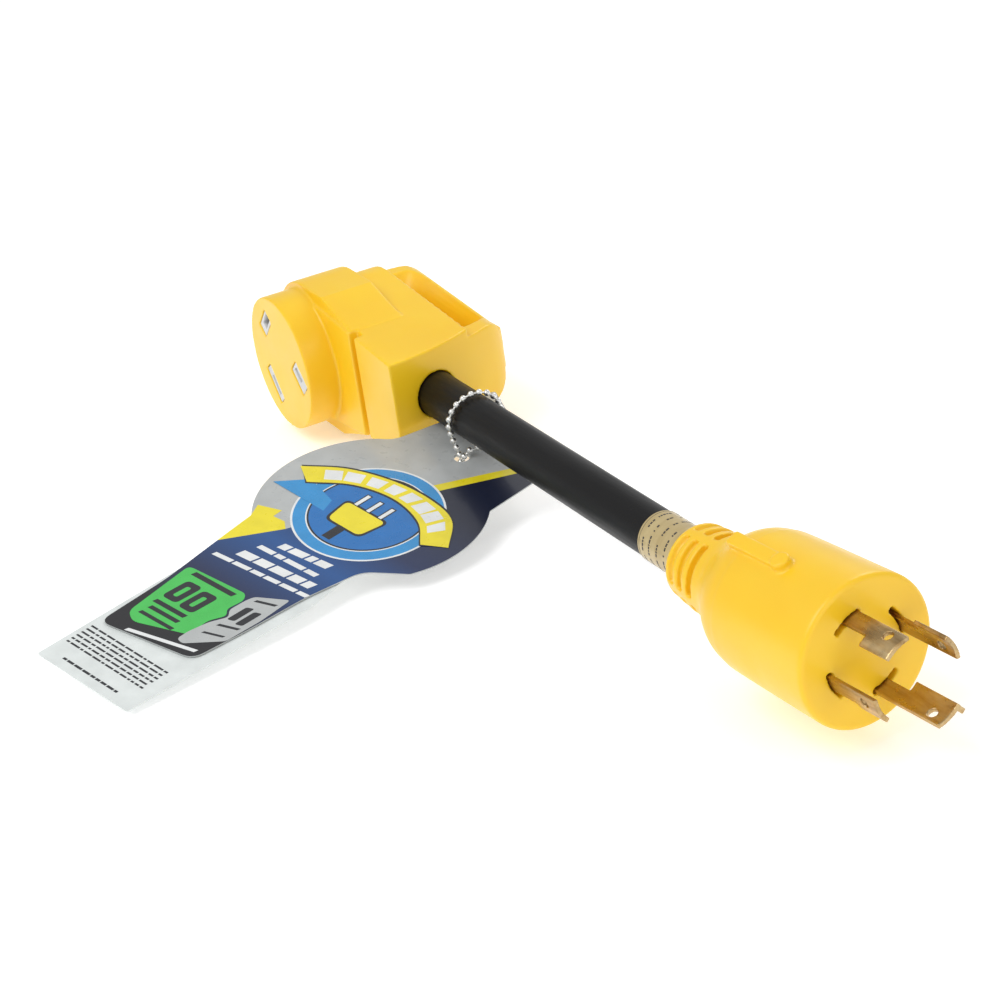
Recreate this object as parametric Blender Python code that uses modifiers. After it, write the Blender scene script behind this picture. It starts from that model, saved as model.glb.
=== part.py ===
"""Short locking-plug adapter: a side-exit outlet head with a pull handle, a stub of round cable,
a four-blade locking plug, and a two-leaf hang tag on a ball chain.

Frame: origin at the centre of the outlet face, -Y out of the outlet, +X along the cable, +Z up.
"""
import math

import bmesh
import bpy
from mathutils import Matrix, Vector

MM = 0.001
GAP = 0.3 * MM                      # clearance between touching pieces

# Outlet head
NOSE_R = 27.0 * MM                  # round nose that carries the outlet face
NOSE_END_Y = 15.0 * MM
FLANGE_R = 29.4 * MM                # thick flange behind the nose
FLANGE_Y = (14.0 * MM, 36.4 * MM)
FLANGE_SHOULDER = ((19.0, 29.0), (31.0, 25.2), (43.0, 21.8))   # x and half height, towards the cable
BODY_R = 25.4 * MM                  # rear body, around the outlet axis
BODY_Y = (13.0 * MM, 50.5 * MM)
NECK_X = 82.0 * MM                  # cable neck before its end is trimmed
NECK_H = 18.2 * MM                  # half height at the neck's end
GROOVE_X = (43.2 * MM, 47.6 * MM)   # groove between flange and neck
GROOVE_Y = 17.0 * MM
END_FACE = ((77.3, 12.0), (75.8, 26.0), (73.2, 38.0), (69.5, 48.6), (65.5, 57.5), (61.0, 65.5),
            (56.0, 70.5), (48.0, 73.6))
HANDLE_H = 15.5 * MM                # half height of the handle loop
HANDLE_FAR_Y = 74.0 * MM
HANDLE_LEFT_X = -23.0 * MM
HANDLE_HOLE = ((-9.5, 53.5), (8.0, 53.0), (34.0, 48.5), (59.0, 46.0), (56.5, 57.0), (50.0, 62.5),
               (-3.0, 63.5), (-9.5, 60.0))
FACE_SKIN = 1.5 * MM                # thickness of the outlet face over the core
CORE_R = 24.6 * MM
CORE_END_Y = 20.0 * MM
CHAMBER_X = (-14.5 * MM, 44.0 * MM)  # wiring chamber behind the core
CHAMBER_Y = (20.0 * MM, 43.5 * MM)
CHAMBER_Z = (-16.0 * MM, 18.8 * MM)

# Outlet ways: name, centre x, centre z, window length, window width, angle, slot width
WAYS = (
    ("ground", -9.5, 14.4, 11.4, 6.4, 46.0, 3.4),
    ("line", 17.2, -1.2, 12.0, 7.4, -48.0, 2.6),
    ("neutral", -10.0, -11.7, 15.6, 5.2, -54.0, 2.6),
)
CONTACT_Y = (4.0 * MM, 15.0 * MM)
BARREL_R = 2.9 * MM
BARREL_BORE_R = 1.9 * MM

# Cable
CABLE_Y = 32.1 * MM                 # cable axis, parallel to X at Z = 0
CABLE_R = 8.6 * MM
JACKET_INNER_R = 6.1 * MM
CABLE_START_X = 46.0 * MM
CABLE_BORE_R = CABLE_R + GAP
WIRE_R = 2.5 * MM
WIRE_INNER_R = 1.8 * MM
COPPER_R = 1.45 * MM
WIRE_PITCH_R = 3.05 * MM            # wire centres from the cable axis
TWIST = -132.0                      # turn of the three wires between the two ends, in degrees
TWIST_S = (-265.0 * MM, -95.0 * MM)

# Plug: s runs backwards from the front face as negative values
PLUG_BEND = math.radians(4.2)       # the plug sits at a slight angle to the cable
PLUG_PIVOT = (271.5 * MM, CABLE_Y)
PIVOT_S = -70.0 * MM
BEND_S = (-80.0 * MM, -60.0 * MM)   # stretch in which the plug's axis turns into the cable's
PLUG_OUTER = ((0.0, 23.9), (-0.9, 24.8), (-41.0, 23.8), (-49.0, 22.7), (-53.5, 20.9), (-57.0, 18.5),
              (-60.5, 16.1), (-63.5, 14.8), (-68.0, 14.3), (-74.0, 13.8), (-83.5, 13.0))
PLUG_INNER = ((-83.5, 8.9), (-80.0, 8.9), (-76.0, 8.9), (-72.0, 8.9), (-68.0, 8.9), (-64.0, 8.9),
              (-50.0, 18.9), (-6.0, 18.9))
RELIEF_GROOVES = (-79.8 * MM, -74.2 * MM, -68.6 * MM)
RELIEF_GROOVE_W = 3.0 * MM
SPINE_ANGLE = math.radians(105.0)
RIB_ANGLE = math.radians(110.0)
PLUG_CORE_R = 18.6 * MM
PLUG_CORE_S = (-30.0 * MM, -6.3 * MM)

# Blades: curved strips on one circle round the plug's axis
BLADE_MID_R = 14.2 * MM
BLADE_T = 1.5 * MM
BLADE_PHASE = 25.75
BLADE_BACK = -24.0 * MM
TAB_START = 9.8 * MM
FIN_START = 12.0 * MM               # the ground blade's tab also turns outward as a fin
FIN_R = 18.5 * MM
BLADES = (("line_2", 0, 24.0 * MM), ("line", 1, 22.0 * MM),
          ("neutral", 2, 20.5 * MM), ("ground", 3, 28.0 * MM))

LABEL_S = (-106.5 * MM, -84.1 * MM)
LABEL_T = 0.35 * MM

# Hang tag: u across the strap, w along it towards the chain, origin at the strap's foot
TAG_FOOT = Vector((137.5, -116.0, -22.5)) * MM
TAG_ROTATION = (math.radians(3.6), math.radians(11.3), math.radians(16.7))
TAG_T = 0.5 * MM
BULGE_R = 42.9 * MM
BULGE_MIDDLE = (3.2 * MM, 102.0 * MM)
BULGE_RIGHT = (-25.0, 38.0)         # stretches of the round head, in degrees
BULGE_LEFT = (135.0, 228.0)
STRAP_RIGHT = ((19.5, 3.5), (21.0, 5.5), (23.0, 25.0), (24.6, 51.0), (28.5, 73.5))
STRAP_LEFT = ((-25.0, 66.0), (-23.2, 52.0), (-19.6, 26.0), (-19.0, -0.5), (-17.5, -3.0), (-15.0, -4.0))
TAG_TOP = ((36.5, 153.0), (34.0, 158.0), (-6.5, 180.0), (-12.0, 182.0), (-13.0, 180.0), (-12.5, 165.0),
           (-17.5, 151.5), (-21.0, 137.0))
HOLE_U, HOLE_W, HOLE_R = 5.8 * MM, 145.3 * MM, 3.0 * MM
BACK_OUTLINE = ((-21.5, -29.0), (24.5, -27.5), (29.0, 48.0), (16.0, 149.5), (-9.0, 149.5), (-21.5, 60.0))

# Ball chain
CHAIN_X = 103.0 * MM
CHAIN_LOOP_R = 10.3 * MM
BEAD_R = 1.2 * MM
LINK_R = 0.45 * MM
BEAD_PITCH = 3.3 * MM
CHAIN_RISE = ((-7.1, -16.7), (-7.3, -13.0), (-9.0, -7.2))            # y and z from the cable's axis
CHAIN_RETURN = ((9.2, -6.6), (5.6, -10.2), (0.5, -11.6), (-4.6, -11.9), (-6.9, -13.8), (-7.1, -16.7))
CHAIN_OFFSET = 1.35 * MM            # the two strands pass the tag's hole side by side
CLASP_Y = -7.1 * MM
CLASP_Z = (-21.4 * MM, -17.1 * MM)
CLASP_R = 2.1 * MM

COLOURS = {
    "yellow": ((0.95, 0.60, 0.04), 0.38, 0.0), "white": ((0.80, 0.80, 0.78), 0.45, 0.0),
    "black": ((0.015, 0.015, 0.017), 0.5, 0.0), "green": ((0.02, 0.25, 0.06), 0.5, 0.0),
    "copper": ((0.72, 0.33, 0.16), 0.35, 1.0), "brass": ((0.50, 0.32, 0.13), 0.35, 1.0),
    "label": ((0.55, 0.43, 0.20), 0.4, 0.0), "steel": ((0.75, 0.76, 0.78), 0.25, 1.0),
    "card": ((0.05, 0.07, 0.14), 0.3, 0.0), "paper": ((0.82, 0.84, 0.83), 0.5, 0.0),
}


# ---------------------------------------------------------------- scene and helpers
for old in list(bpy.data.objects):
    bpy.data.objects.remove(old, do_unlink=True)

parts = bpy.data.collections.new("locking_plug_adapter")
cutters = bpy.data.collections.new("cutters")
bpy.context.scene.collection.children.link(parts)
bpy.context.scene.collection.children.link(cutters)


def material(name):
    """A Principled material from the colour table."""
    if name in bpy.data.materials:
        return bpy.data.materials[name]
    colour, roughness, metallic = COLOURS[name]
    made = bpy.data.materials.new(name)
    made.use_nodes = True
    shader = made.node_tree.nodes["Principled BSDF"]
    shader.inputs["Base Color"].default_value = (*colour, 1.0)
    shader.inputs["Roughness"].default_value = roughness
    shader.inputs["Metallic"].default_value = metallic
    return made


def empty(name, matrix=Matrix()):
    """A guide object that places the pieces parented to it."""
    guide = bpy.data.objects.new(name, None)
    parts.objects.link(guide)
    guide.matrix_world = matrix
    return guide


def add_object(name, bm, colour=None, parent=None, warp=None):
    """Turn a bmesh into an object: a part with a colour, or else a cutter. warp bends its points first."""
    if warp:
        for vert in bm.verts:
            vert.co = warp(vert.co)
    mesh = bpy.data.meshes.new(name)
    bm.to_mesh(mesh)
    bm.free()
    made = bpy.data.objects.new(name, mesh)
    made.parent = parent
    if colour:
        parts.objects.link(made)
        mesh.materials.append(material(colour))
        mesh.shade_smooth()
        mesh.set_sharp_from_angle(angle=math.radians(35))
    else:
        cutters.objects.link(made)
        made.hide_render = True
        made.display_type = "WIRE"
    return made


def boolean(target, tool, operation="DIFFERENCE"):
    """Cut or join with the exact solver; the tool becomes a cutter."""
    modifier = target.modifiers.new(f"{operation.lower()}_{tool.name}", "BOOLEAN")
    modifier.object = tool
    modifier.operation = operation
    modifier.solver = "EXACT"
    return target


def cylinder(radius, start, end, segments=48):
    """A closed cylinder between two points."""
    start, end = Vector(start), Vector(end)
    bm = bmesh.new()
    bmesh.ops.create_cone(bm, cap_ends=True, segments=segments, radius1=radius, radius2=radius,
                          depth=(end - start).length)
    turn = (end - start).to_track_quat("Z", "Y").to_matrix().to_4x4()
    bmesh.ops.transform(bm, matrix=Matrix.Translation((start + end) / 2) @ turn, verts=bm.verts)
    return bm


def box(low, high):
    """A closed box between two corners."""
    low, high = Vector(low), Vector(high)
    bm = bmesh.new()
    bmesh.ops.create_cube(bm, size=1.0)
    bmesh.ops.scale(bm, vec=high - low, verts=bm.verts)
    bmesh.ops.translate(bm, vec=(low + high) / 2, verts=bm.verts)
    return bm


def prism(outline, depth, matrix=Matrix()):
    """A flat outline of (x, y) points, thickened by depth along its own +Z and then placed."""
    bm = bmesh.new()
    face = bm.faces.new([bm.verts.new((x, y, 0.0)) for x, y in outline])
    face.normal_update()
    if face.normal.z > 0:
        face.normal_flip()
    grown = bmesh.ops.extrude_face_region(bm, geom=[face])["geom"]
    top = [item for item in grown if isinstance(item, bmesh.types.BMVert)]
    bmesh.ops.translate(bm, vec=(0.0, 0.0, depth), verts=top)
    bmesh.ops.transform(bm, matrix=matrix, verts=bm.verts)
    bmesh.ops.recalc_face_normals(bm, faces=bm.faces)
    return bm


def arc_points(centre, radius, start, end, count):
    """Points on an arc, angles in degrees."""
    angles = [math.radians(start + (end - start) * i / (count - 1)) for i in range(count)]
    return [(centre[0] + radius * math.cos(a), centre[1] + radius * math.sin(a)) for a in angles]


def arc_block(radii, angles, stretch, steps=8):
    """A curved strip about the X axis, from its radii, its angles in radians and its stretch of X."""
    bm = bmesh.new()
    bmesh.ops.create_cube(bm, size=1.0)
    along = [e for e in bm.edges if abs(e.verts[0].co.y - e.verts[1].co.y) > 0.5]
    bmesh.ops.subdivide_edges(bm, edges=along, cuts=steps - 1, use_grid_fill=True)
    for vert in bm.verts:
        share = vert.co + Vector((0.5, 0.5, 0.5))
        radius = radii[0] + (radii[1] - radii[0]) * share.z
        angle = angles[0] + (angles[1] - angles[0]) * share.y
        along_x = stretch[0] + (stretch[1] - stretch[0]) * share.x
        vert.co = Vector((along_x, radius * math.cos(angle), radius * math.sin(angle)))
    bmesh.ops.reverse_faces(bm, faces=bm.faces)
    return bm


def smooth_path(points):
    """Closely spaced points on a smooth curve through the given ones."""
    points = [Vector(p) for p in points]
    padded = [2 * points[0] - points[1], *points, 2 * points[-1] - points[-2]]
    fine = []
    for a, b, c, d in zip(padded, padded[1:], padded[2:], padded[3:]):
        for step in range(12):
            t = step / 12
            fine.append(0.5 * (2 * b + (c - a) * t + (2 * a - 5 * b + 4 * c - d) * t * t
                               + (3 * b - a - 3 * c + d) * t ** 3))
    return [*fine, points[-1]]


def thinned(points, turn=0.16, stretch=25 * MM):
    """Keep the points where the line has turned or run on far enough since the last one kept."""
    kept = [points[0]]
    heading = points[1] - points[0]
    for here, after in zip(points[1:], points[2:]):
        if heading.angle(after - here) > turn or (here - kept[-1]).length > stretch:
            kept.append(here)
            heading = after - here
    return [*kept, points[-1]]


def resample(points, count):
    """count points at equal distances along a polyline."""
    lengths = [0.0]
    for a, b in zip(points, points[1:]):
        lengths.append(lengths[-1] + (b - a).length)
    result = []
    index = 0
    for step in range(count):
        target = lengths[-1] * step / (count - 1)
        while index < len(points) - 2 and lengths[index + 1] < target:
            index += 1
        span = lengths[index + 1] - lengths[index]
        result.append(points[index].lerp(points[index + 1], (target - lengths[index]) / span))
    return result


def tube(name, points, radius, colour, wall=0.0, sides=8, radii=None):
    """A round rod along the points, or with a wall an open pipe."""
    curve = bpy.data.curves.new(name, "CURVE")
    curve.dimensions = "3D"
    curve.bevel_depth = radius
    curve.bevel_resolution = sides // 2 - 2
    curve.use_fill_caps = not wall
    spline = curve.splines.new("POLY")
    spline.points.add(len(points) - 1)
    for index, (point, target) in enumerate(zip(points, spline.points)):
        target.co = (*point, 1.0)
        target.radius = radii[index] / radius if radii else 1.0
    source = bpy.data.objects.new(name + "_curve", curve)
    cutters.objects.link(source)
    if wall:
        shell = source.modifiers.new("wall", "SOLIDIFY")
        shell.thickness = wall
        shell.offset = -1.0
    graph = bpy.context.evaluated_depsgraph_get()
    mesh = bpy.data.meshes.new_from_object(source.evaluated_get(graph))
    bm = bmesh.new()
    bm.from_mesh(mesh)
    bmesh.ops.remove_doubles(bm, verts=bm.verts, dist=0.00001)
    bmesh.ops.recalc_face_normals(bm, faces=bm.faces)
    bpy.data.objects.remove(source, do_unlink=True)
    bpy.data.meshes.remove(mesh)
    return add_object(name, bm, colour)


# ---------------------------------------------------------------- frames of the plug and the tag
PLUG_FRAME = (Matrix.Translation((*PLUG_PIVOT, 0.0)) @ Matrix.Rotation(PLUG_BEND, 4, "Z")
              @ Matrix.Translation((-PIVOT_S, 0.0, 0.0)))
TAG_FRAME = Matrix.Translation(TAG_FOOT) @ (
    Matrix.Rotation(TAG_ROTATION[2], 4, "Z") @ Matrix.Rotation(TAG_ROTATION[1], 4, "Y")
    @ Matrix.Rotation(TAG_ROTATION[0], 4, "X"))
XZ_PLANE = Matrix(((1, 0, 0, 0), (0, 0, 1, 0), (0, 1, 0, 0), (0, 0, 0, 1)))   # outline (x, z), depth along +Y


def bend(point):
    """Turn the plug's rear stretch back in line with the cable, smoothly over BEND_S."""
    share = min(max((BEND_S[1] - point.x) / (BEND_S[1] - BEND_S[0]), 0.0), 1.0)
    share = share * share * (3 - 2 * share)
    pivot = Vector((PIVOT_S, 0.0, 0.0))
    return pivot + Matrix.Rotation(-PLUG_BEND * share, 3, "Z") @ (Vector(point) - pivot)


def cable_point(s, across=0.0, up=0.0):
    """A world point on or beside the cable's axis, s measured back from the plug's face."""
    return PLUG_FRAME @ bend(Vector((s, across, up)))


def s_of_x(x):
    """The s value of a place x on the straight stretch of cable."""
    return PIVOT_S - (PLUG_PIVOT[0] - x)


# ---------------------------------------------------------------- outlet head
def flange_outline():
    """Outline in X and Z: a half circle on the far side, then shoulders that step down towards the cable."""
    arc = arc_points((0, 0), FLANGE_R, 90, 270, 33)
    low = [(x * MM, -z * MM) for x, z in FLANGE_SHOULDER]
    return arc + low + [(x * MM, z * MM) for x, z in reversed(FLANGE_SHOULDER)]


def body_outline(radius, side_x, side_h, corner):
    """Outline in X and Z: a circle round the outlet axis drawn out to an upright side at side_x."""
    slope = math.degrees(math.asin((radius - side_h) / math.hypot(side_x, radius)))
    arc = arc_points((0, 0), radius, 90 - slope, 270 + slope, 33)
    low = arc_points((side_x - corner, -side_h + corner), corner, -90, 0, 6)
    high = arc_points((side_x - corner, side_h - corner), corner, 0, 90, 6)
    return arc + low + high


def make_head():
    """Yellow overmould: nose, flange, tapered body and neck, handle loop, and the hollows inside."""
    body = prism(body_outline(BODY_R, NECK_X, NECK_H, 5 * MM), BODY_Y[1] - BODY_Y[0],
                 Matrix.Translation((0, BODY_Y[0], 0)) @ XZ_PLANE)
    head = add_object("head_overmold", body, "yellow")

    nose = add_object("nose", cylinder(NOSE_R, (0, 0, 0), (0, NOSE_END_Y + 4 * MM, 0), 64))
    flange = add_object("flange", prism(flange_outline(), FLANGE_Y[1] - FLANGE_Y[0],
                                        Matrix.Translation((0, FLANGE_Y[0], 0)) @ XZ_PLANE))
    groove = add_object("groove", box((GROOVE_X[0], 0, -40 * MM), (GROOVE_X[1], GROOVE_Y, 40 * MM)))
    boolean(head, groove)
    boolean(head, nose, "UNION")
    boolean(head, flange, "UNION")

    left = [(HANDLE_LEFT_X + 9 * MM, HANDLE_FAR_Y), (HANDLE_LEFT_X + 3 * MM, HANDLE_FAR_Y - 2.5 * MM),
            (HANDLE_LEFT_X, HANDLE_FAR_Y - 9 * MM), (HANDLE_LEFT_X, 44 * MM)]
    loop = [(80 * MM, 44 * MM), (80 * MM, HANDLE_FAR_Y)] + left
    handle = add_object("handle", prism(loop, 2 * HANDLE_H, Matrix.Translation((0, 0, -HANDLE_H))))
    boolean(head, handle, "UNION")
    trim = [(x * MM, y * MM) for x, y in END_FACE]
    trim += [(40 * MM, 90 * MM), (110 * MM, 90 * MM), (110 * MM, 5 * MM), (78 * MM, 5 * MM)]
    end_cut = prism(trim, 70 * MM, Matrix.Translation((0, 0, -35 * MM)))
    boolean(head, add_object("neck_trim", end_cut))
    hole = [(x * MM, y * MM) for x, y in HANDLE_HOLE]
    boolean(head, add_object("finger_hole", prism(hole, 80 * MM, Matrix.Translation((0, 0, -40 * MM)))))

    boolean(head, add_object("core_pocket", cylinder(CORE_R + GAP, (0, FACE_SKIN, 0), (0, 24 * MM, 0), 56)))
    boolean(head, add_object("chamber", box(*zip(CHAMBER_X, CHAMBER_Y, CHAMBER_Z))))
    bore = cylinder(CABLE_BORE_R, (CHAMBER_X[1] - MM, CABLE_Y, 0), (90 * MM, CABLE_Y, 0), 32)
    boolean(head, add_object("cable_bore", bore))
    for name, x, z, length, width, angle, _ in WAYS:
        boolean(head, way_box(f"{name}_window", x, z, length, width, angle, (-MM, 6 * MM)))
    return head


def way_box(name, x, z, length, width, angle, depth, colour=None):
    """A box at an outlet way: its long side at angle in the XZ plane, depth as a Y range."""
    bm = box((-length * MM / 2, depth[0], -width * MM / 2), (length * MM / 2, depth[1], width * MM / 2))
    place = Matrix.Translation((x * MM, 0, z * MM)) @ Matrix.Rotation(math.radians(-angle), 4, "Y")
    bmesh.ops.transform(bm, matrix=place, verts=bm.verts)
    return add_object(name, bm, colour)


def make_socket_core():
    """White core behind the outlet face, with a raised pad in each window and a pocket for each contact."""
    low = FACE_SKIN + GAP
    core = add_object("socket_core", cylinder(CORE_R, (0, low, 0), (0, CORE_END_Y, 0), 56), "white")
    for name, x, z, length, width, angle, _ in WAYS:
        pad = way_box(f"{name}_pad", x, z, length - 0.7, width - 0.7, angle, (0.5 * MM, 3 * MM))
        boolean(core, pad, "UNION")
    for name, x, z, length, width, angle, slot in WAYS:
        pocket = way_box(f"{name}_pocket", x, z, length + 0.6, 6.6, angle, (3.4 * MM, 30 * MM))
        boolean(core, pocket)
        entry = way_box(f"{name}_slot", x, z, length - 3.0, min(slot, width - 1.6), angle, (-MM, 4 * MM))
        boolean(core, entry)
    return core


def make_contacts():
    """Brass outlet contacts: a slotted clip with a crimp barrel behind it."""
    for name, x, z, length, _, angle, _ in WAYS:
        clip = way_box(f"contact_{name}", x, z, length, 6.0, angle, CONTACT_Y, "brass")
        boolean(clip, way_box(f"{name}_mouth", x, z, length + 2, 2.0, angle, (0, 12 * MM)))
        back = (x * MM, CORE_END_Y + 4 * MM, z * MM)
        barrel = add_object(f"{name}_barrel", cylinder(BARREL_R, (x * MM, 14 * MM, z * MM), back, 20))
        boolean(clip, barrel, "UNION")
        bore = cylinder(BARREL_BORE_R, (x * MM, 17 * MM, z * MM), (x * MM, 40 * MM, z * MM), 16)
        boolean(clip, add_object(f"{name}_barrel_bore", bore))


# ---------------------------------------------------------------- plug
def spin_profile(profile, steps):
    """Turn (s, r) points in mm, which start and end on the axis, once round the X axis."""
    bm = bmesh.new()
    verts = [bm.verts.new((s * MM, r * MM, 0.0)) for s, r in profile]
    edges = [bm.edges.new(pair) for pair in zip(verts, verts[1:])]
    bmesh.ops.spin(bm, geom=verts + edges, cent=(0, 0, 0), axis=(1, 0, 0), angle=math.tau, steps=steps,
                   use_merge=True)
    bmesh.ops.remove_doubles(bm, verts=bm.verts, dist=0.00001)
    bmesh.ops.recalc_face_normals(bm, faces=bm.faces)
    return bm


def blade_angle(index):
    """Middle angle of a blade's slot, counter-clockwise from the plug's +Y side."""
    return math.radians(BLADE_PHASE + 90 * index)


def make_plug(frame):
    """Yellow plug overmould: turned body, grooved strain relief, top rib, and curved blade slots."""
    bm = spin_profile(((0.0, 0.0), *PLUG_OUTER, *PLUG_INNER, (-6.0, 0.0)), 64)
    plug = add_object("plug_overmold", bm, "yellow", frame, bend)
    rib = arc_block((12 * MM, 25.2 * MM), (RIB_ANGLE - 0.09, RIB_ANGLE + 0.09), (-57 * MM, -22 * MM), 4)
    rib_tool = add_object("rib", rib, None, frame)
    inside = cylinder(22 * MM, (-70 * MM, 0, 0), (0, 0, 0), 48)
    boolean(rib_tool, add_object("rib_core", inside, None, frame))
    boolean(plug, rib_tool, "UNION")
    for name, way, _ in BLADES:
        middle = blade_angle(way)
        slot = arc_block((BLADE_MID_R - BLADE_T / 2 - GAP, BLADE_MID_R + BLADE_T / 2 + GAP),
                         (middle - 0.37, middle + 0.37), (-7 * MM, MM), 8)
        boolean(plug, add_object(f"slot_{name}", slot, None, frame))
    for ring, s in enumerate(RELIEF_GROOVES):
        for quarter in range(4):
            start = SPINE_ANGLE + quarter * math.pi / 2
            cut = arc_block((11.4 * MM, 17 * MM), (start + 0.12, start + math.pi / 2 - 0.12),
                            (s - RELIEF_GROOVE_W / 2, s + RELIEF_GROOVE_W / 2), 8)
            boolean(plug, add_object(f"relief_{ring}_{quarter}", cut, None, frame, bend))
    return plug


def make_plug_core(frame):
    """White disc that holds the blades behind the plug's front wall."""
    disc = cylinder(PLUG_CORE_R, (PLUG_CORE_S[0], 0, 0), (PLUG_CORE_S[1], 0, 0), 48)
    core = add_object("plug_core", disc, "white", frame)
    for name, way, _ in BLADES:
        middle = blade_angle(way)
        slot = arc_block((BLADE_MID_R - BLADE_T / 2 - GAP, BLADE_MID_R + BLADE_T / 2 + GAP),
                         (middle - 0.35, middle + 0.12), (-40 * MM, 0), 6)
        boolean(core, add_object(f"core_slot_{name}", slot, None, frame))
        if way:
            front = barrel_point(way, BLADE_BACK / MM + 1.5)
            hole = cylinder(BARREL_R + GAP, barrel_point(way, -40), front, 20)
            boolean(core, add_object(f"core_bore_{name}", hole, None, frame))
    return core


def barrel_point(way, s):
    """A point on the axis of a blade's crimp barrel, s in mm."""
    middle = blade_angle(way) - 0.12
    return (s * MM, BLADE_MID_R * math.cos(middle), BLADE_MID_R * math.sin(middle))


def make_blades(frame):
    """Brass blades: a curved shank, a locking tab at the tip, a hole, and a crimp barrel behind."""
    radii = (BLADE_MID_R - BLADE_T / 2, BLADE_MID_R + BLADE_T / 2)
    for name, way, length in BLADES:
        middle = blade_angle(way)
        shank = arc_block(radii, (middle - 0.33, middle + 0.09), (BLADE_BACK, length), 6)
        blade = add_object(f"blade_{name}", shank, "brass", frame)
        tab = arc_block(radii, (middle, middle + 0.33), (TAB_START, length), 6)
        boolean(blade, add_object(f"tab_{name}", tab, None, frame), "UNION")
        if name == "ground":
            fin = arc_block((radii[0] + 0.2 * MM, FIN_R), (middle + 0.225, middle + 0.325),
                            (FIN_START, length - MM), 3)
            boolean(blade, add_object(f"fin_{name}", fin, None, frame), "UNION")
        hole_s = length - 5.5 * MM
        across = Vector((0, math.cos(middle - 0.12), math.sin(middle - 0.12)))
        drill = cylinder(1.6 * MM, Vector((hole_s, 0, 0)) + across * 8 * MM,
                         Vector((hole_s, 0, 0)) + across * 22 * MM, 16)
        boolean(blade, add_object(f"hole_{name}", drill, None, frame))
        if way:
            back = BLADE_BACK / MM
            barrel = cylinder(BARREL_R, barrel_point(way, back - 10), barrel_point(way, back + 1), 20)
            boolean(blade, add_object(f"blade_barrel_{name}", barrel, None, frame), "UNION")
            bore = cylinder(BARREL_BORE_R, barrel_point(way, back - 20), barrel_point(way, back - 3), 16)
            boolean(blade, add_object(f"blade_bore_{name}", bore, None, frame))


# ---------------------------------------------------------------- cable
def wire_point(index, s, spread=1.0):
    """Where a wire passes at s; the three lie round the cable's axis and twist together on the way."""
    share = min(max((s - TWIST_S[0]) / (TWIST_S[1] - TWIST_S[0]), 0.0), 1.0)
    angle = math.radians((210, 330, 90)[index] + TWIST * share)
    return Vector((s, spread * WIRE_PITCH_R * math.cos(angle), spread * WIRE_PITCH_R * math.sin(angle)))


WIRE_STARTS = (                       # from the outlet's barrels into the cable, in mm
    ((17.2, 21.0, -1.2), (17.2, 25.0, -1.2), (18.2, 28.4, -1.2), (22.5, 30.4, -1.3), (29.0, 30.0, -1.5),
     (38.0, 29.5, -1.55)),
    ((-10.0, 21.0, -11.7), (-10.0, 25.0, -11.7), (-9.6, 30.0, -11.7), (-5.5, 36.0, -11.0), (5.0, 39.0, -8.0),
     (19.0, 37.5, -4.4), (36.0, 34.9, -1.6)),
    ((-9.5, 21.0, 14.4), (-9.5, 25.0, 14.4), (-9.2, 29.5, 14.3), (-5.5, 35.0, 13.2), (5.0, 36.5, 10.5),
     (19.0, 34.0, 6.6), (36.0, 32.1, 3.2)),
)
WIRES = (("line", 1, "black"), ("neutral", 2, "white"), ("ground", 3, "green"))


def wire_route(index, way):
    """The whole route of one wire, from its outlet barrel through the cable to its blade barrel."""
    points = [Vector(p) * MM for p in WIRE_STARTS[index]]
    stations = [s_of_x(x * MM) for x in (48, 62, 80, 100, 120, 140, 160, 180, 200, 220, 240, 250, 256)]
    for s in [*stations, -80 * MM, -76 * MM, -72 * MM, -68 * MM, -64 * MM]:
        points.append(PLUG_FRAME @ bend(wire_point(index, s)))
    end = Vector(barrel_point(way, -31.0))
    for s, share in ((-58, 0.0), (-53, 0.22), (-47, 0.66), (-42, 0.93), (-37, 1.0), (-31, 1.0)):
        middle = wire_point(index, s * MM, 1.3).lerp(end, share)
        points.append(PLUG_FRAME @ bend(Vector((s * MM, middle.y, middle.z))))
    return thinned(smooth_path(points))


def trimmed(points, start, end):
    """The stretch of a route without its first and last lengths."""
    def cut(chain, length):
        while (chain[1] - chain[0]).length < length:
            length -= (chain[1] - chain[0]).length
            chain = chain[1:]
        return [chain[0].lerp(chain[1], length / (chain[1] - chain[0]).length), *chain[1:]]
    return cut(cut(list(points), start)[::-1], end)[::-1]


def make_cable():
    """Jacket, three insulated wires with their copper, and the printed band by the plug."""
    stations = [s_of_x(x * MM) for x in (CABLE_START_X / MM, 80, 110, 140, 170, 200, 230, 250)]
    stations += [-80 * MM, -76 * MM, -72 * MM, -68 * MM, -65.5 * MM]
    jacket = [cable_point(s) for s in stations]
    tube("cable_jacket", jacket, CABLE_R, "black", CABLE_R - JACKET_INNER_R, 20)
    band = [cable_point(LABEL_S[0] + (LABEL_S[1] - LABEL_S[0]) * i / 3) for i in range(4)]
    tube("cable_band", band, CABLE_R + GAP + LABEL_T, "label", LABEL_T, 24)
    for index, (name, way, colour) in enumerate(WIRES):
        route = wire_route(index, way)
        tube(f"wire_{name}_copper", trimmed(route, MM, MM), COPPER_R, "copper", sides=6)
        sleeve = trimmed(route, 5 * MM, 5.4 * MM)
        tube(f"wire_{name}_insulation", sleeve, WIRE_R, colour, WIRE_R - WIRE_INNER_R, 8)


# ---------------------------------------------------------------- hang tag and chain
def card(name, outline, low, colour, frame):
    """A thin card with the chain's hole, its underside at low."""
    made = add_object(name, prism(outline, TAG_T, Matrix.Translation((0, 0, low))), colour, frame)
    drill = cylinder(HOLE_R, (HOLE_U, HOLE_W, low - MM), (HOLE_U, HOLE_W, low + MM), 24)
    boolean(made, add_object(f"{name}_hole", drill, None, frame))


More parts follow.
